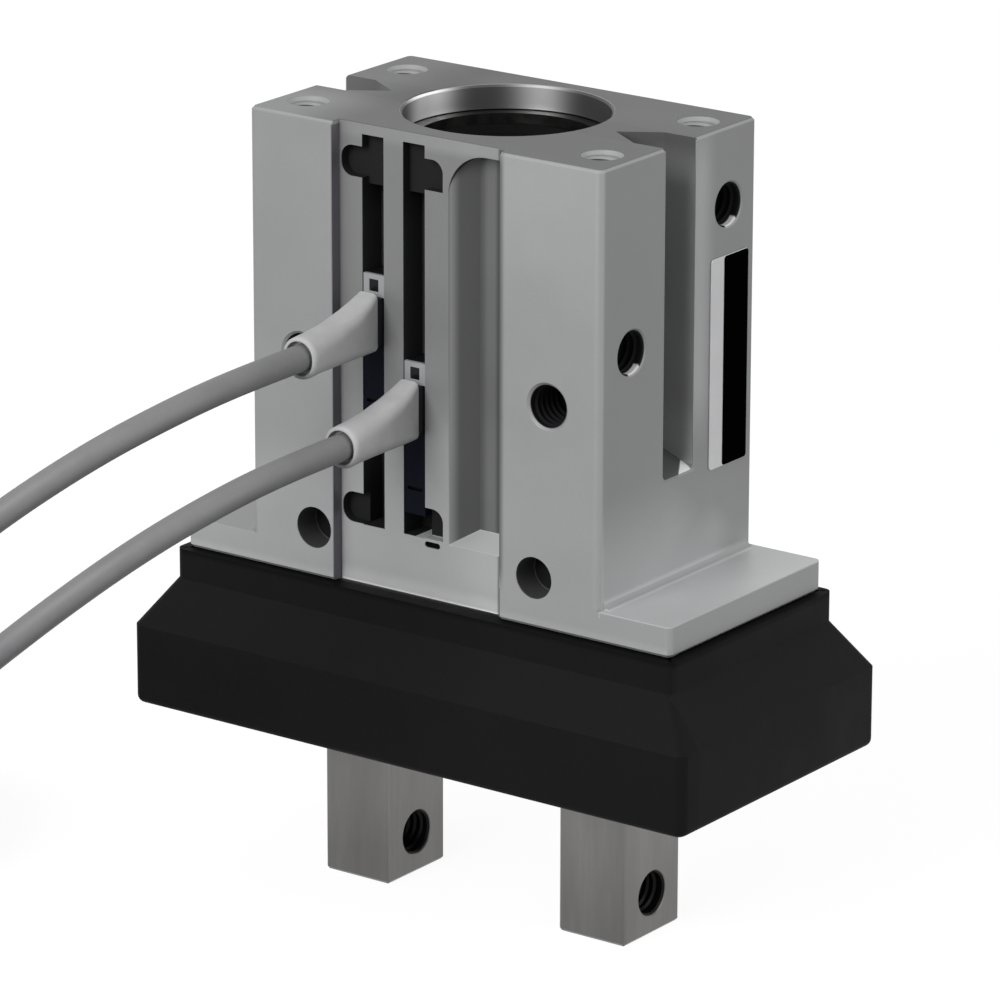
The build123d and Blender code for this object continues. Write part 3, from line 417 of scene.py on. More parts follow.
def anodisedFinish():
    material, colour, gloss = plainFinish("greyAnodised", anodised)
    tree = material.node_tree
    place = millimetres(tree)
    folded = foldedAcross(tree, place)
    slotRamp, paintedGlints = slotEndMasks(tree, folded)
    bored, borePaintedReflection = boreMasks(tree, place)
    factor = reliefPaintedLight(tree, paintedLightOver(tree, place, anodised["paintedLight"]), place)
    factor = changedInside(tree, factor, slotRamp, anodised["slotEnds"]["paintedShade"] - 1)
    colour = scaledColour(tree, colour, factor)
    steps = highest(tree, [boxMask(tree, place, low, high) for low, high in anodised["steps"]])
    colour = mixed(tree, steps, colour, anodised["stepShadeColour"])
    recesses = cellMasks(tree, place, folded, anodised["recesses"])
    colour = mixed(tree, recesses, colour, anodised["recessShadeColour"])
    colour = mixed(tree, bored, colour, borePaintedReflection)
    # shade painted in the grooves and pockets, then in the holes
    slots = highest(tree, [boxMask(tree, place, low, high) for low, high in anodised["slots"]])
    height = separated(tree, place)[2]
    slotEnd = highest(tree, [ranged(tree, height, *fade) for fade in anodised["slotShadeFades"]])
    colour = mixed(tree, slots, colour, mixed(tree, slotEnd, *anodised["slotShadeColours"]))
    holes = cellMasks(tree, place, folded, anodised["holes"])
    colour = mixed(tree, holes, colour, anodised["holeShadeColour"])
    for middle, half in anodised["glints"]:
        glint = cellMask(tree, place, middle, half, anodised["glintEdge"])
        paintedGlints = highest(tree, (paintedGlints, glint))
    colour = mixed(tree, paintedGlints, colour, anodised["glintColour"])
    feedShader(material, "Base Color", colour)
    dark = highest(tree, (slots, holes))
    more = anodised["bore"]["metal"] - anodised["metal"]
    metal = mathNode(tree, "MULTIPLY_ADD", bored, more, anodised["metal"])
    plain = mathNode(tree, "SUBTRACT", 1.0, highest(tree, (dark, paintedGlints)))
    feedShader(material, "Metallic", mathNode(tree, "MULTIPLY", metal, plain))
    gloss = mathNode(tree, "MULTIPLY_ADD", bored, anodised["bore"]["rougher"], gloss)
    gloss = mathNode(tree, "MULTIPLY_ADD", dark, anodised["darkRougher"], gloss)
    feedShader(material, "Roughness", gloss)
    return material


# Fingers: painted shade, darker towards the tips and on the fronts, and shade painted in the threaded
# hole
fingerLook = {
    "paintedLight": (
        ((-30.0, -4.85, -0.1), (30.0, -4.6, 30.0), 2, 1.0, 14.0, 0.92, 1.26),
        ((-30.0, -4.6, -0.1), (30.0, 4.9, 30.0), 2, 1.0, 14.0, 1.09, 1.35),
    ),
    "hole": ((14.5, 0.0, 4.3), (3.9, 2.3, 2.3)), "holeShadeColour": (0.006, 0.006, 0.007),
}


def fingerFinish():
    look = finishes["finger_steel"]
    material, colour = plainFinish("fingerSteel", look)[:2]
    tree = material.node_tree
    place = millimetres(tree)
    colour = scaledColour(tree, colour, paintedLightOver(tree, place, fingerLook["paintedLight"]))
    dark = cellMask(tree, foldedAcross(tree, place), *fingerLook["hole"])
    feedShader(material, "Base Color", mixed(tree, dark, colour, fingerLook["holeShadeColour"]))
    metal = mathNode(tree, "MULTIPLY_ADD", dark, -look["metal"], look["metal"])
    feedShader(material, "Metallic", metal)
    return material


# Dust cover: painted shade, darkest under the body, and a little painted light on the slope of the port
# side
coverPaintedLight = (
    ((-31.0, -15.0, 33.4), (31.0, 15.0, 34.6), 2, 33.7, 34.3, 1.0, 0.3),
    ((29.9, -14.0, 18.0), (33.6, 17.0, 33.8), 2, 0.0, 1.0, 1.3, 1.3),
)


def coverFinish():
    material, colour = plainFinish("coverRubber", finishes["cover_rubber"])[:2]
    tree = material.node_tree
    factor = paintedLightOver(tree, millimetres(tree), coverPaintedLight)
    feedShader(material, "Base Color", scaledColour(tree, colour, factor))
    return material


# Switch heads and boots: pale in front of a depth, with shade painted black behind it
paleFronts = {
    "depths": {"switch_head": -11.3, "boot_plastic": -12.62}, "fade": 0.05,
    "backShadeColour": (0.006, 0.006, 0.008),
}


def paleFrontFinish(slot, depth):
    material, colour = plainFinish(slot + "Front", finishes[slot])[:2]
    tree = material.node_tree
    along = separated(tree, millimetres(tree))[1]
    behind = ranged(tree, along, depth - paleFronts["fade"], depth, 0, 1)
    feedShader(material, "Base Color", mixed(tree, behind, colour, paleFronts["backShadeColour"]))
    return material


# Finishes of the other pieces, by the record's slot. Cloud and grain sizes are in millimetres
finishes = {
    "black_anodised": {
        "colour": (0.0045, 0.0045, 0.005), "metal": 0.0, "rough": 0.5, "specular": 0.03,
        "cloudSize": 6.0, "cloudShare": 0.1, "grainSize": 0.15,
    },
    "finger_steel": {
        "colour": (0.157, 0.155, 0.152), "metal": 0.85, "rough": 0.36, "roughSpread": 0.06,
        "cloudSize": 5.0, "cloudShare": 0.12, "grainSize": 0.5, "stretch": (1, 1, 0.12),
        "fleckShare": 0.2, "fleckLevel": 0.8, "bump": 0.1, "bumpDepth": 0.01, "brushed": 0.25,
        "specular": 0.1,
    },
    "guide_steel": {
        "colour": (0.36, 0.36, 0.37), "metal": 1.0, "rough": 0.32, "cloudSize": 6.0,
        "cloudShare": 0.08, "grainSize": 0.4, "stretch": (0.1, 1, 1), "bump": 0.1,
    },
    "ball_steel": {
        "colour": (0.7, 0.7, 0.72), "metal": 1.0, "rough": 0.12, "roughSpread": 0.02,
        "cloudSize": 1.0, "cloudShare": 0.03, "grainSize": 0.2, "bump": 0.02,
    },
    "rod_steel": {
        "colour": (0.6, 0.6, 0.62), "metal": 1.0, "rough": 0.2, "cloudSize": 3.0,
        "cloudShare": 0.05, "grainSize": 0.2, "stretch": (1, 1, 4), "bump": 0.05,
    },
    "spring_steel": {
        "colour": (0.03, 0.029, 0.028), "metal": 0.9, "rough": 0.36, "cloudSize": 1.5,
        "cloudShare": 0.2, "grainSize": 0.15, "bump": 0.15,
    },
    "screw_steel": {
        "colour": (0.42, 0.42, 0.44), "metal": 1.0, "rough": 0.3, "cloudSize": 1.0,
        "cloudShare": 0.1, "grainSize": 0.1, "bump": 0.1,
    },
    "seal_rubber": {
        "colour": (0.012, 0.012, 0.012), "rough": 0.5, "specular": 0.3, "cloudSize": 2.0,
        "cloudShare": 0.1, "grainSize": 0.1, "bump": 0.1,
    },
    "bush_bronze": {
        "colour": (0.4, 0.27, 0.13), "metal": 1.0, "rough": 0.4, "cloudSize": 1.0,
        "cloudShare": 0.15, "grainSize": 0.12, "fleckShare": 0.4, "bump": 0.3,
    },
    "magnet_ferrite": {
        "colour": (0.04, 0.04, 0.042), "rough": 0.55, "cloudSize": 2.0, "cloudShare": 0.1,
        "grainSize": 0.15, "bump": 0.2,
    },
    "switch_body": {
        "colour": (0.004, 0.005, 0.011), "rough": 0.55, "specular": 0.06, "cloudSize": 3.0,
        "cloudShare": 0.12, "grainSize": 0.14, "bump": 0.12,
    },
    "switch_head": {
        "colour": (0.30, 0.305, 0.31), "rough": 0.45, "specular": 0.25, "cloudSize": 1.5,
        "cloudShare": 0.04, "grainSize": 0.12, "fleckShare": 0.08, "bump": 0.12,
    },
    "switch_window": {
        "colour": (0.008, 0.007, 0.008), "rough": 0.15, "specular": 0.15, "cloudSize": 0.8,
        "cloudShare": 0.1, "grainSize": 0.3, "bump": 0.03,
    },
    "boot_plastic": {
        "colour": (0.45, 0.45, 0.455), "rough": 0.5, "specular": 0.25, "cloudSize": 2.5,
        "cloudShare": 0.05, "grainSize": 0.12, "fleckShare": 0.1, "bump": 0.15,
    },
    "lead_jacket": {
        "colour": (0.2, 0.2, 0.204), "rough": 0.5, "specular": 0.25, "cloudSize": 4.0,
        "cloudShare": 0.05, "grainSize": 0.14, "fleckShare": 0.1, "bump": 0.15,
    },
    "cover_rubber": {
        "colour": (0.006, 0.006, 0.0065), "rough": 0.62, "roughSpread": 0.06, "specular": 0.06,
        "cloudSize": 9.0, "cloudShare": 0.18, "grainSize": 0.22, "fleckShare": 0.25,
        "fleckLevel": 1.5, "bump": 0.35, "bumpDepth": 0.03,
    },
    "label_film": {
        "colour": (0.57, 0.57, 0.58), "metal": 0.2, "rough": 0.3, "roughSpread": 0.02,
        "cloudSize": 5.0, "cloudShare": 0.03, "grainSize": 0.3, "fleckShare": 0.05, "bump": 0.0,
    },
}
looks = {
    "anodised_aluminium": anodisedFinish(), "finger_steel": fingerFinish(),
    "cover_rubber": coverFinish(),
}
for slot, depth in paleFronts["depths"].items():
    looks[slot] = paleFrontFinish(slot, depth)
for slot, look in finishes.items():
    if slot not in looks:
        looks[slot] = plainFinish(slot + "Look", look)[0]
# Lever pins and clamp screws painted near black as shade, where they lie in shadow
pinsPaintedShade = dict(
    finishes["rod_steel"], colour=(0.012, 0.012, 0.013), metal=0.0, rough=0.5, specular=0.05
)
looks["pins_painted_shade"] = plainFinish("pinsPaintedShade", pinsPaintedShade)[0]
screwsPaintedShade = dict(finishes["switch_body"], colour=(0.004, 0.004, 0.008))
looks["screws_painted_shade"] = plainFinish("screwsPaintedShade", screwsPaintedShade)[0]

nodeSlots = {
    "anodised_aluminium": ["body"],
    "black_anodised": ["end_cap", "piston"],
    "spring_steel": ["retaining_ring"],
    "finger_steel": ["finger_left", "finger_right"],
    "guide_steel": ["lever_left", "lever_right", "guide_channel", "end_plate_left", "end_plate_right"],
    "rod_steel": ["piston_rod"],
    "pins_painted_shade": ["lever_pins"],
    "screws_painted_shade": ["clamp_screws"],
    "ball_steel": ["guide_balls_left", "guide_balls_right"],
    "screw_steel": ["guide_screws", "end_plate_screws", "piston_nut"],
    "seal_rubber": ["cap_seal", "piston_seal", "rod_seal", "bumper_upper", "bumper_lower"],
    "bush_bronze": ["rod_guide"],
    "magnet_ferrite": ["piston_magnet"],
    "cover_rubber": ["dust_cover"],
    "switch_body": ["switch_upper", "switch_lower"],
    "switch_head": ["switch_head_upper", "switch_head_lower"],
    "switch_window": ["switch_window_upper", "switch_window_lower"],
    "boot_plastic": ["boot_upper", "boot_lower"],
    "lead_jacket": ["lead_upper", "lead_lower", "lead_coil_upper", "lead_coil_lower"],
    "label_film": ["label_plate"],
}
for slot, names in nodeSlots.items():
    for node in names:
        dress(node, looks[slot])
print("finishes made for", len(looks), "slots")


# Mesh helpers: pieces are drawn in millimetres and scaled once, when they are finished
weldDistance = 0.0005


# One flat face with rounded corners, in the XY plane.
def roundedFace(bm, size, corner, centre=(0, 0, 0), segments=6):
    grid = bmesh.ops.create_grid(bm, x_segments=1, y_segments=1, size=0.5)
    bmesh.ops.scale(bm, vec=(*size, 1), verts=grid["verts"])
    bmesh.ops.translate(bm, vec=centre, verts=grid["verts"])
    face = grid["verts"][0].link_faces[0]
    made = bmesh.ops.bevel(
        bm, geom=list(face.verts), offset=corner, offset_type="OFFSET", affect="VERTICES",
        segments=segments, profile=0.5, material=-1, clamp_overlap=False,
    )
    return made["verts"][0].link_faces[0]


# Extrude one face, then move it and scale it about its own middle. The face that it grows from
# goes, unless it stands alone and closes the piece.
def pullFace(bm, face, move=(0, 0, 0), factor=(1, 1, 1)):
    made = bmesh.ops.extrude_face_region(bm, geom=[face, *face.edges, *face.verts])
    pulled = [item for item in made["geom"] if isinstance(item, bmesh.types.BMFace)][0]
    middle = pulled.calc_center_median()
    bmesh.ops.scale(bm, vec=factor, verts=pulled.verts, space=Matrix.Translation(-middle))
    bmesh.ops.translate(bm, vec=move, verts=pulled.verts)
    return pulled


def insetFace(bm, face, amount):
    face.normal_update()
    bmesh.ops.inset_region(bm, faces=[face], thickness=amount, depth=0, use_even_offset=True)
    return face


# Join the loops of a row of faces, one to the next.
def bridgeFaces(bm, faces):
    for start, stop in zip(faces, faces[1:]):
        bmesh.ops.bridge_loops(bm, edges=[*start.edges, *stop.edges])


# Scale a drawn piece to metres, point its faces outwards and make it an object.
def finishPiece(bm, name, materials, smoothAngle=35.0):
    bmesh.ops.remove_doubles(bm, verts=bm.verts, dist=weldDistance)
    bmesh.ops.recalc_face_normals(bm, faces=bm.faces)
    bmesh.ops.scale(bm, vec=(mm, mm, mm), verts=bm.verts)
    mesh = bpy.data.meshes.new(name)
    bm.to_mesh(mesh)
    bm.free()
    for material in materials:
        mesh.materials.append(material)
    mesh.shade_smooth()
    mesh.set_sharp_from_angle(angle=radians(smoothAngle))
    piece = bpy.data.objects.new(name, mesh)
    bpy.context.collection.objects.link(piece)
    return piece


def softenEdges(piece, width, segments, angle):
    bevel = piece.modifiers.new("softEdges", "BEVEL")
    bevel.width = width * mm
    bevel.segments = segments
    bevel.limit_method = "ANGLE"
    bevel.angle_limit = radians(angle)


# Leads: the visible run, then the coil that holds the rest of the lead
leadLook = {
    "diameter": 2.7, "length": 500.0, "coilCentre": (-65.0, -33.6), "outerTurn": 16.95,
    "innerTurn": 14.25, "pointsPerTurn": 16, "draw": 1.019, "coilTurns": 4,
    # the turns during which the coil steps in, up a layer and out again
    "inwards": (0.8, 1.0), "upwards": (1.8, 2.0), "outwards": (2.8, 3.0),
    "floors": {"upper": 5.4, "lower": 0.0},
    "mouths": {"upper": (-6.8, -23.6, 60.4), "lower": (-1.87, -23.6, 52.4)},
}
leadRoutes = {
    "upper": [
        (-6.8, -22.8, 60.4), (-6.8, -31.4, 60.4), (-7.6, -41.0, 59.5), (-11.2, -50.0, 56.4),
        (-18.0, -57.0, 50.2), (-26.8, -61.0, 41.6), (-36.4, -61.9, 32.0), (-45.4, -59.8, 22.4),
        (-53.2, -56.0, 14.0), (-59.4, -52.6, 8.8), (-65.2, -50.55, 6.75),
    ],
    "lower": [
        (-1.87, -22.8, 52.4), (-1.87, -31.0, 52.4), (-2.9, -40.0, 51.3), (-6.6, -48.4, 47.8),
        (-13.2, -54.8, 41.4), (-21.8, -58.6, 33.2), (-31.0, -59.4, 24.0), (-39.8, -58.0, 15.2),
        (-48.0, -55.0, 7.8), (-56.4, -52.2, 3.0), (-65.0, -50.55, 1.35),
    ],
}


def between(first, last, share):
    return first + (last - first) * share


def eased(value, start, stop):
    share = min(max((value - start) / (stop - start), 0), 1)
    return share * share * (3 - 2 * share)


# Points of the coil: outer and inner turn below, then inner and outer turn above.
def coilPoints(floor):
    look = leadLook
    centreX, centreY = look["coilCentre"]
    points = []
    for step in range(1, look["coilTurns"] * look["pointsPerTurn"] + 1):
        turn = step / look["pointsPerTurn"]
        inwards = eased(turn, *look["inwards"]) - eased(turn, *look["outwards"])
        radius = between(look["outerTurn"], look["innerTurn"], inwards) * look["draw"]
        angle = -pi / 2 - tau * turn
        height = floor + look["diameter"] * (0.5 + eased(turn, *look["upwards"]))
        points.append((centreX + radius * cos(angle), centreY + radius * sin(angle), height))
    return points


def layLead(level):
    points = leadRoutes[level] + coilPoints(leadLook["floors"][level])
    curve = bpy.data.curves.new("lead" + level.capitalize(), "CURVE")
    curve.dimensions = "3D"
    spline = curve.splines.new("NURBS")
    spline.points.add(len(points) - 1)
    for point, place in zip(spline.points, points):
        point.co = (*(Vector(place) * mm), 1)
    spline.order_u = 3
    spline.use_endpoint_u = True
    spline.resolution_u = 8
    curve.bevel_depth = leadLook["diameter"] / 2 * mm
    curve.bevel_resolution = 5
    curve.use_fill_caps = True
    curve.materials.append(looks["lead_jacket"])
    lead = bpy.data.objects.new("lead" + level.capitalize(), curve)
    bpy.context.collection.objects.link(lead)
    return lead, Vector(points[-1])


# Stripped cores at the far end of each lead
coreLook = {
    "colours": {"brown": (0.09, 0.035, 0.015), "blue": (0.01, 0.04, 0.16), "black": (0.01, 0.01, 0.01)},
    "jacket": {"cloudSize": 1.5, "rough": 0.4},
    "strand": {"colour": (0.62, 0.32, 0.18), "stretch": (0.1, 1, 1)},
    "radius": 0.45, "length": 7.0, "sunk": 1.0, "bareRadius": 0.26, "bare": 2.2,
    # angle in radians, sideways and upwards, for each core
    "cores": ((0.10, -0.62, 0.25), (0.0, 0.0, -0.45), (-0.10, 0.62, 0.25)),
    "sides": 14, "rimAngle": 60.0, "rimBevel": 0.06,
}


def coreMaterials():
    made = []
    for name, colour in coreLook["colours"].items():
        look = dict(finishes["lead_jacket"], colour=colour, **coreLook["jacket"])
        made.append(plainFinish(name + "Core", look)[0])
    strand = dict(finishes["screw_steel"], **coreLook["strand"])
    made.append(plainFinish("copperStrand", strand)[0])
    return made


def makeCores(level, end, materials):
    look = coreLook
    bm = bmesh.new()
    copper = len(materials) - 1
    for index, (angle, sideways, lift) in enumerate(look["cores"]):
        for radius, start, length, material in (
            (look["radius"], -look["sunk"], look["length"], index),
            (look["bareRadius"], look["length"] - look["sunk"], look["bare"], copper),
        ):
            verts = bmesh.ops.create_cone(
                bm, cap_ends=True, segments=look["sides"], radius1=radius, radius2=radius, depth=length
            )["verts"]
            for face in {face for vert in verts for face in vert.link_faces}:
                face.material_index = material
            bmesh.ops.translate(bm, vec=(0, 0, start + length / 2), verts=verts)
            bmesh.ops.rotate(bm, matrix=Matrix.Rotation(-pi / 2, 3, "Y"), verts=verts)
            bmesh.ops.rotate(bm, matrix=Matrix.Rotation(angle, 3, "Z"), verts=verts)
            bmesh.ops.translate(bm, vec=end + Vector((0, sideways, lift)), verts=verts)
    rims = [edge for edge in bm.edges if edge.calc_face_angle(0) > radians(look["rimAngle"])]
    bmesh.ops.bevel(
        bm, geom=rims, offset=look["rimBevel"], affect="EDGES", segments=2, profile=0.5, material=-1
    )
    return finishPiece(bm, "leadCores" + level.capitalize(), materials)


# Boots: a slim neck, a shoulder, a waist and a round mouth with a rim
bootLook = {
    "centres": {"upper": (-6.8, 61.4), "lower": (-1.87, 53.4)},
    # Y, width and height, corner radius, and how far the section sits above the centre
    "sections": (
        (-11.7, (2.3, 5.0), 0.5, 0.0), (-12.65, (2.3, 5.0), 0.5, 0.0),
        (-12.7, (2.4, 5.9), 0.6, 0.2), (-14.1, (3.0, 5.3), 0.9, -0.1),
        (-15.8, (3.4, 4.76), 1.15, -0.38),
        (-18.8, (3.62, 4.28), 1.5, -0.7), (-21.4, (3.82, 4.16), 1.8, -0.88),
        (-23.0, (3.98, 4.2), 1.95, -1.0), (-23.4, (3.94, 4.14), 1.92, -1.0),
        (-23.6, (3.64, 3.84), 1.78, -1.0),
    ),
    "mouthRim": 0.22, "mouthDepth": 0.8, "softEdge": (0.14, 3, 35.0), "smoothAngle": 50.0,
}


def makeBoot(level):
    look = bootLook
    centreX, centreZ = look["centres"][level]
    bm = bmesh.new()
    faces = []
    for sectionY, size, corner, rise in look["sections"]:
        face = roundedFace(bm, size, corner, segments=7)
        bmesh.ops.rotate(bm, matrix=Matrix.Rotation(pi / 2, 3, "X"), verts=face.verts)
        bmesh.ops.translate(bm, vec=(centreX, sectionY, centreZ + rise), verts=face.verts)
        faces.append(face)
    bridgeFaces(bm, faces)
    bmesh.ops.delete(bm, geom=faces[1:-1], context="FACES_ONLY")
    mouth = insetFace(bm, faces[-1], look["mouthRim"])
    pullFace(bm, mouth, move=(0, look["mouthDepth"], 0))
    name = "leadBoot" + level.capitalize()
    boot = finishPiece(bm, name, [looks["boot_plastic"]], look["smoothAngle"])
    softenEdges(boot, *look["softEdge"])
    return boot


coreFinishes = coreMaterials()
for level in ("upper", "lower"):
    lead, leadEnd = layLead(level)
    cores = makeCores(level, leadEnd, coreFinishes)
    boot = makeBoot(level)
    for piece in (lead, cores, boot):
        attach(piece, "body")
    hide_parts("lead_" + level, "lead_coil_" + level)
    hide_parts("boot_" + level)
print("leads, cores and boots made")


# Dust cover: one moulded shell round the guide, with an opening round each finger
coverLook = {
    "skirt": (66.9, 33.7), "skirtCorner": 1.1, "collar": (60.2, 27.8), "bottom": 18.2,
    "skirtTop": 26.5, "collarBottom": 31.3, "top": 34.4, "wall": 1.6, "floor": 1.3,
    "innerDrop": 0.2, "bottomEdge": 0.8, "softEdge": (0.35, 4, 25.0), "smoothAngle": 32.0,
    # where the right opening starts and ends, and how far it reaches to the front and the back
    "opening": (8.4, 25.2, 6.3), "openingCorner": 2.2, "floorBelow": 22.0, "levelNormal": 0.99,
    "uprightShare": 0.9, "cutSlack": 0.0001,
}


def sizedFactor(old, new):
    return (new[0] / old[0], new[1] / old[1], 1)


# Skirt, slope and collar on the outside, then the same down the inside to the floor
def coverShell(bm):
    look = coverLook
    skirt, collar, wall, drop = (look[key] for key in ("skirt", "collar", "wall", "innerDrop"))
    low, slope, foot, high = (look[key] for key in ("bottom", "skirtTop", "collarBottom", "top"))
    innerSkirt, innerCollar = ([side - 2 * wall for side in size] for size in (skirt, collar))
    top = roundedFace(bm, skirt, look["skirtCorner"], (0, 0, low), segments=8)
    top = pullFace(bm, top, (0, 0, slope - low))
    top = pullFace(bm, top, (0, 0, foot - slope), sizedFactor(skirt, collar))
    top = pullFace(bm, top, (0, 0, high - foot))
    top = insetFace(bm, top, wall)
    top = pullFace(bm, top, (0, 0, foot - drop - high))
    top = pullFace(bm, top, (0, 0, slope - foot + drop), sizedFactor(innerCollar, innerSkirt))
    pullFace(bm, top, (0, 0, low + look["floor"] - slope))
    outerRim = [
        edge for edge in bm.edges
        if all(abs(vert.co.z - low) < weldDistance for vert in edge.verts) and len(edge.link_faces) == 2
    ]
    bmesh.ops.bevel(
        bm, geom=outerRim, offset=look["bottomEdge"], affect="EDGES", segments=5, profile=0.5,
        material=-1,
    )


# The upper and lower faces of the cover's floor
def floorFaces(bm):
    return [
        face for face in bm.faces
        if abs(face.normal.z) > coverLook["levelNormal"]
        and face.calc_center_median().z < coverLook["floorBelow"]
    ]


# Cut the floor along the sides of the openings, take out what lies inside and wall the holes.
def cutOpenings(bm):
    look = coverLook
    near, far, reach = look["opening"]
    planes = [((side, 0, 0), (1, 0, 0)) for side in (near, far, -near, -far)]
    planes += [((0, side, 0), (0, 1, 0)) for side in (reach, -reach)]
    for place, normal in planes:
        flat = floorFaces(bm)
        edges = {edge for face in flat for edge in face.edges}
        verts = {vert for face in flat for vert in face.verts}
        bmesh.ops.bisect_plane(
            bm, geom=[*verts, *edges, *flat], dist=look["cutSlack"], plane_co=place, plane_no=normal
        )
        bm.normal_update()
    for hand in (-1, 1):
        cut = []
        for face in floorFaces(bm):
            middle = face.calc_center_median()
            if near < hand * middle.x < far and abs(middle.y) < reach:
                cut.append(face)
        rims = [edge for face in cut for edge in face.edges]
        bmesh.ops.delete(bm, geom=cut, context="FACES_ONLY")
        walls = bmesh.ops.bridge_loops(bm, edges=rims)["faces"]
        upright = {
            edge for face in walls for edge in face.edges
            if abs(edge.verts[0].co.z - edge.verts[1].co.z) > look["floor"] * look["uprightShare"]
        }
        bmesh.ops.bevel(
            bm, geom=list(upright), offset=look["openingCorner"], affect="EDGES", segments=6,
            profile=0.5, material=-1,
        )


def makeCover():
    bm = bmesh.new()
    coverShell(bm)
    cutOpenings(bm)
    cover = finishPiece(bm, "rubberCover", [looks["cover_rubber"]], coverLook["smoothAngle"])
    softenEdges(cover, *coverLook["softEdge"])
    return cover


# Membranes: a folded rubber funnel from each opening up to its finger
membraneLook = {
    # near and far end and reach, at the cover's rim and at the finger
    "rim": (8.1, 25.5, 6.6), "rimCorner": 2.4, "finger": (10.5, 18.5, 4.75), "fingerCorner": 0.45,
    "snug": 0.05, "thickness": 0.55, "smoothAngle": 80.0,
    # how far each ring has drawn in towards the finger, and its height
    "rings": ((0.0, 19.45), (0.06, 20.05), (0.35, 20.5), (0.62, 20.05), (0.84, 20.3), (1.0, 21.1),
              (1.0, 22.5)),
    "middle": 14.5, "still": 19.5, "moving": 21.8,
}


def makeMembrane(name, hand):
    look = membraneLook
    bm = bmesh.new()
    rimNear, rimFar, rimReach = look["rim"]
    near, far, reach = look["finger"]
    snug = look["snug"]
    rings = []
    for share, height in look["rings"]:
        left = between(rimNear, near - snug, share)
        right = between(rimFar, far + snug, share)
        half = between(rimReach, reach + snug, share)
        corner = between(look["rimCorner"], look["fingerCorner"], share)
        centre = (hand * (left + right) / 2, 0, height)
        rings.append(roundedFace(bm, (right - left, 2 * half), corner, centre, segments=5))
    bridgeFaces(bm, rings)
    bmesh.ops.delete(bm, geom=rings, context="FACES_ONLY")
    piece = "coverMembrane" + name.capitalize()
    membrane = finishPiece(bm, piece, [looks["cover_rubber"]], look["smoothAngle"])
    wall = membrane.modifiers.new("wall", "SOLIDIFY")
    wall.thickness = look["thickness"] * mm
    wall.offset = 1.0
    return membrane


cover = makeCover()
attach(cover, "body")
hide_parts("dust_cover")
for name, hand in (("left", -1), ("right", 1)):
    membrane = makeMembrane(name, hand)
    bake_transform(membrane)
    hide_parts("dust_cover")
print("dust cover made")


# Threads cut in the air ports, the fastening holes and the fingers
threadLook = {
    "ridge": 0.18, "flank": 1.6, "sunk": 0.05, "stepsPerTurn": 28, "smoothAngle": 60.0,
    # core radius, pitch, depth at which the first turn starts, turns
    "side": (2.1, 0.8, 0.6, 5), "top": (1.7, 0.7, 0.6, 5), "finger": (2.1, 0.8, 0.5, 8.4),
}
tappedHoles = {
    # mouth, direction inwards, kind of thread
    "body": [
        ((21.0, 8.2, 73.2), (-1, 0, 0), "side"), ((21.0, -7.9, 62.1), (-1, 0, 0), "side"),
        ((14.8, -13.0, 56.9), (0, 1, 0), "side"), ((-14.8, -13.0, 56.9), (0, 1, 0), "side"),
        ((17.5, 8.0, 81.0), (0, 0, -1), "top"), ((-17.5, 8.0, 81.0), (0, 0, -1), "top"),
        ((17.5, -8.0, 81.0), (0, 0, -1), "top"), ((-17.5, -8.0, 81.0), (0, 0, -1), "top"),
    ],
    "finger_right": [((10.5, 0.0, 4.3), (1, 0, 0), "finger")],
    "finger_left": [((-10.5, 0.0, 4.3), (-1, 0, 0), "finger")],
}


# A ridge that winds down a hole: three points spun and pulled along the hole's axis.
def cutThread(bm, mouth, inwards, kind):
    core, pitch, first, turns = threadLook[kind]
    axis = Vector(inwards)
    across = axis.orthogonal().normalized()
    start = Vector(mouth) + axis * first
    ridge = threadLook["ridge"]
    facing = Matrix((axis * threadLook["flank"], -across, axis.cross(-across))).transposed().to_4x4()
    seat = start + across * (core - ridge / 2 + threadLook["sunk"])
    made = bmesh.ops.create_circle(
        bm, cap_ends=False, segments=3, radius=ridge, matrix=Matrix.Translation(seat) @ facing
    )
    profile = made["verts"]
    edges = list({edge for vert in profile for edge in vert.link_edges})
    steps = round(turns * threadLook["stepsPerTurn"])
    bmesh.ops.spin(
        bm, geom=profile + edges, cent=start, axis=axis, dvec=axis * pitch * turns / steps,
        angle=tau * turns, steps=steps, use_merge=False, use_duplicate=False,
    )


for body, holes in tappedHoles.items():
    bm = bmesh.new()
    for hole in holes:
        cutThread(bm, *hole)
    slot = "anodised_aluminium" if body == "body" else "finger_steel"
    name = "threads" + body.title().replace("_", "")
    thread = finishPiece(bm, name, [looks[slot]], threadLook["smoothAngle"])
    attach(thread, body)
print("threads cut")


# Label: a bright film with a bare black field on it, each a plate that stands on the port side
labelLook = {
    # middle: its Y and Z. The field starts just inside the film
    "film": {"size": (6.3, 21.2), "middle": (8.35, 57.7), "start": 21.0, "thickness": 0.14,
             "corner": 0.4},
    "field": {"size": (4.1, 21.1), "middle": (9.42, 57.7), "start": 21.13, "thickness": 0.05,
              "corner": 0.35},
    # share of the thickness, segments, angle
    "softEdge": (0.4, 2, 30.0),
    "fieldFinish": {"colour": (0.001, 0.001, 0.0011), "metal": 0.0, "specular": 0.0, "rough": 0.6},
}


# A thin plate that faces +X
def upPlate(name, plate, material):
    bm = bmesh.new()
    face = roundedFace(bm, plate["size"], plate["corner"])
    pullFace(bm, face, (0, 0, plate["thickness"]))
    bmesh.ops.rotate(bm, matrix=Matrix(((0, 0, 1), (1, 0, 0), (0, 1, 0))), verts=bm.verts)
    bmesh.ops.translate(bm, vec=(plate["start"], *plate["middle"]), verts=bm.verts)
    piece = finishPiece(bm, name, [material])
    share, segments, angle = labelLook["softEdge"]
    softenEdges(piece, plate["thickness"] * share, segments, angle)
    return piece


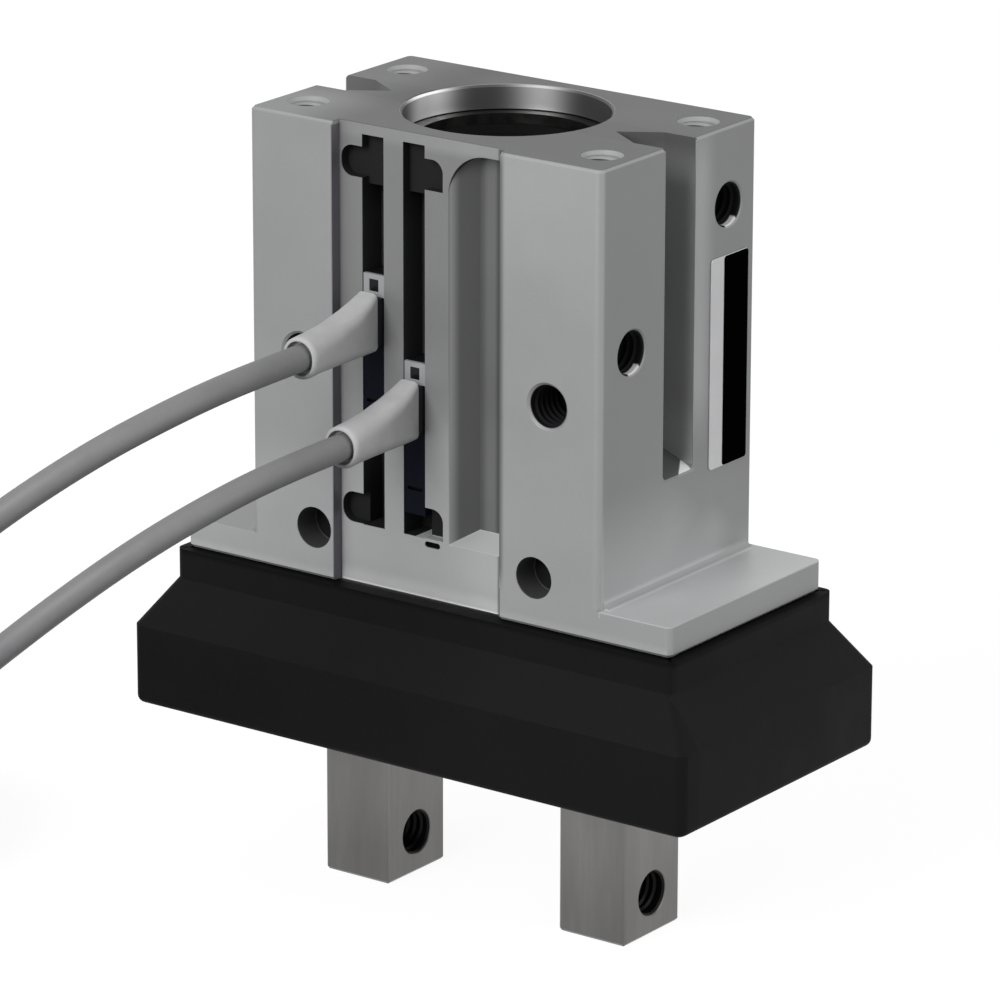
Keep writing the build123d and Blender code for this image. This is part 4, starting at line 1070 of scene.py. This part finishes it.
film = upPlate("labelFilm", labelLook["film"], looks["label_film"])
fieldFinish = plainFinish("labelField", dict(finishes["label_film"], **labelLook["fieldFinish"]))[0]
field = upPlate("labelField", labelLook["field"], fieldFinish)
for piece in (film, field):
    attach(piece, "body")
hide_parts("label_plate")
print("label made")


# Floor, world and lamps
studio = {
    "ambient": 0.42, "floorSize": 8.0, "floorColour": (0.13, 0.13, 0.13), "floorGlow": 0.92,
    "lampAim": (0.0, 0.0, 0.045),
    "lamps": {
        # name: azimuth, elevation, distance, size, power
        "key": (-4.0, 30.0, 1.1, 0.7, 10.4),
        "fill": (100.0, 20.0, 1.2, 0.9, 5.5),
    },
}


# 1 for camera, glossy and transmission rays, 0 for the rest.
def seenDirectly(tree):
    path = addNode(tree, "ShaderNodeLightPath")
    kinds = ("Is Camera Ray", "Is Glossy Ray", "Is Transmission Ray")
    return highest(tree, [path.outputs[kind] for kind in kinds])


# White where it is seen, dimmer where it only lights the object
def makeWorld():
    world = bpy.data.worlds.new("studioWorld")
    bpy.context.scene.world = world
    world.use_nodes = True
    tree = world.node_tree
    strength = addNode(tree, "ShaderNodeMapRange")
    strength.inputs["To Min"].default_value = studio["ambient"]
    strength.inputs["To Max"].default_value = 1.0
    tree.links.new(seenDirectly(tree), strength.inputs["Value"])
    background = tree.nodes["Background"]
    background.inputs["Color"].default_value = (1, 1, 1, 1)
    tree.links.new(strength.outputs["Result"], background.inputs["Strength"])


# A floor that takes shadows and glows where it is seen
def makeFloor():
    bm = bmesh.new()
    bmesh.ops.create_grid(bm, x_segments=1, y_segments=1, size=studio["floorSize"] / 2 / mm)
    material = bpy.data.materials.new("paleFloor")
    material.use_nodes = True
    tree = material.node_tree
    tree.nodes.remove(tree.nodes["Principled BSDF"])
    matt = addNode(tree, "ShaderNodeBsdfDiffuse")
    matt.inputs["Color"].default_value = (*studio["floorColour"], 1)
    glow = addNode(tree, "ShaderNodeEmission")
    strength = mathNode(tree, "MULTIPLY", seenDirectly(tree), studio["floorGlow"])
    tree.links.new(strength, glow.inputs["Strength"])
    both = addNode(tree, "ShaderNodeAddShader")
    tree.links.new(matt.outputs[0], both.inputs[0])
    tree.links.new(glow.outputs[0], both.inputs[1])
    tree.links.new(both.outputs[0], tree.nodes["Material Output"].inputs["Surface"])
    floor = finishPiece(bm, "studioFloor", [material])


def makeLamps():
    for name, (azimuth, elevation, distance, size, power) in studio["lamps"].items():
        away = towards(azimuth, elevation)
        data = bpy.data.lights.new(name + "Lamp", "AREA")
        data.shape = "DISK"
        data.size = size
        data.energy = power
        lamp = bpy.data.objects.new(name + "Lamp", data)
        lamp.location = away * distance + Vector(studio["lampAim"])
        lamp.rotation_euler = away.to_track_quat("Z", "Y").to_euler()
        bpy.context.collection.objects.link(lamp)


makeWorld()
makeFloor()
makeLamps()
bpy.context.scene.view_settings.view_transform = "Standard"
print("studio lit")
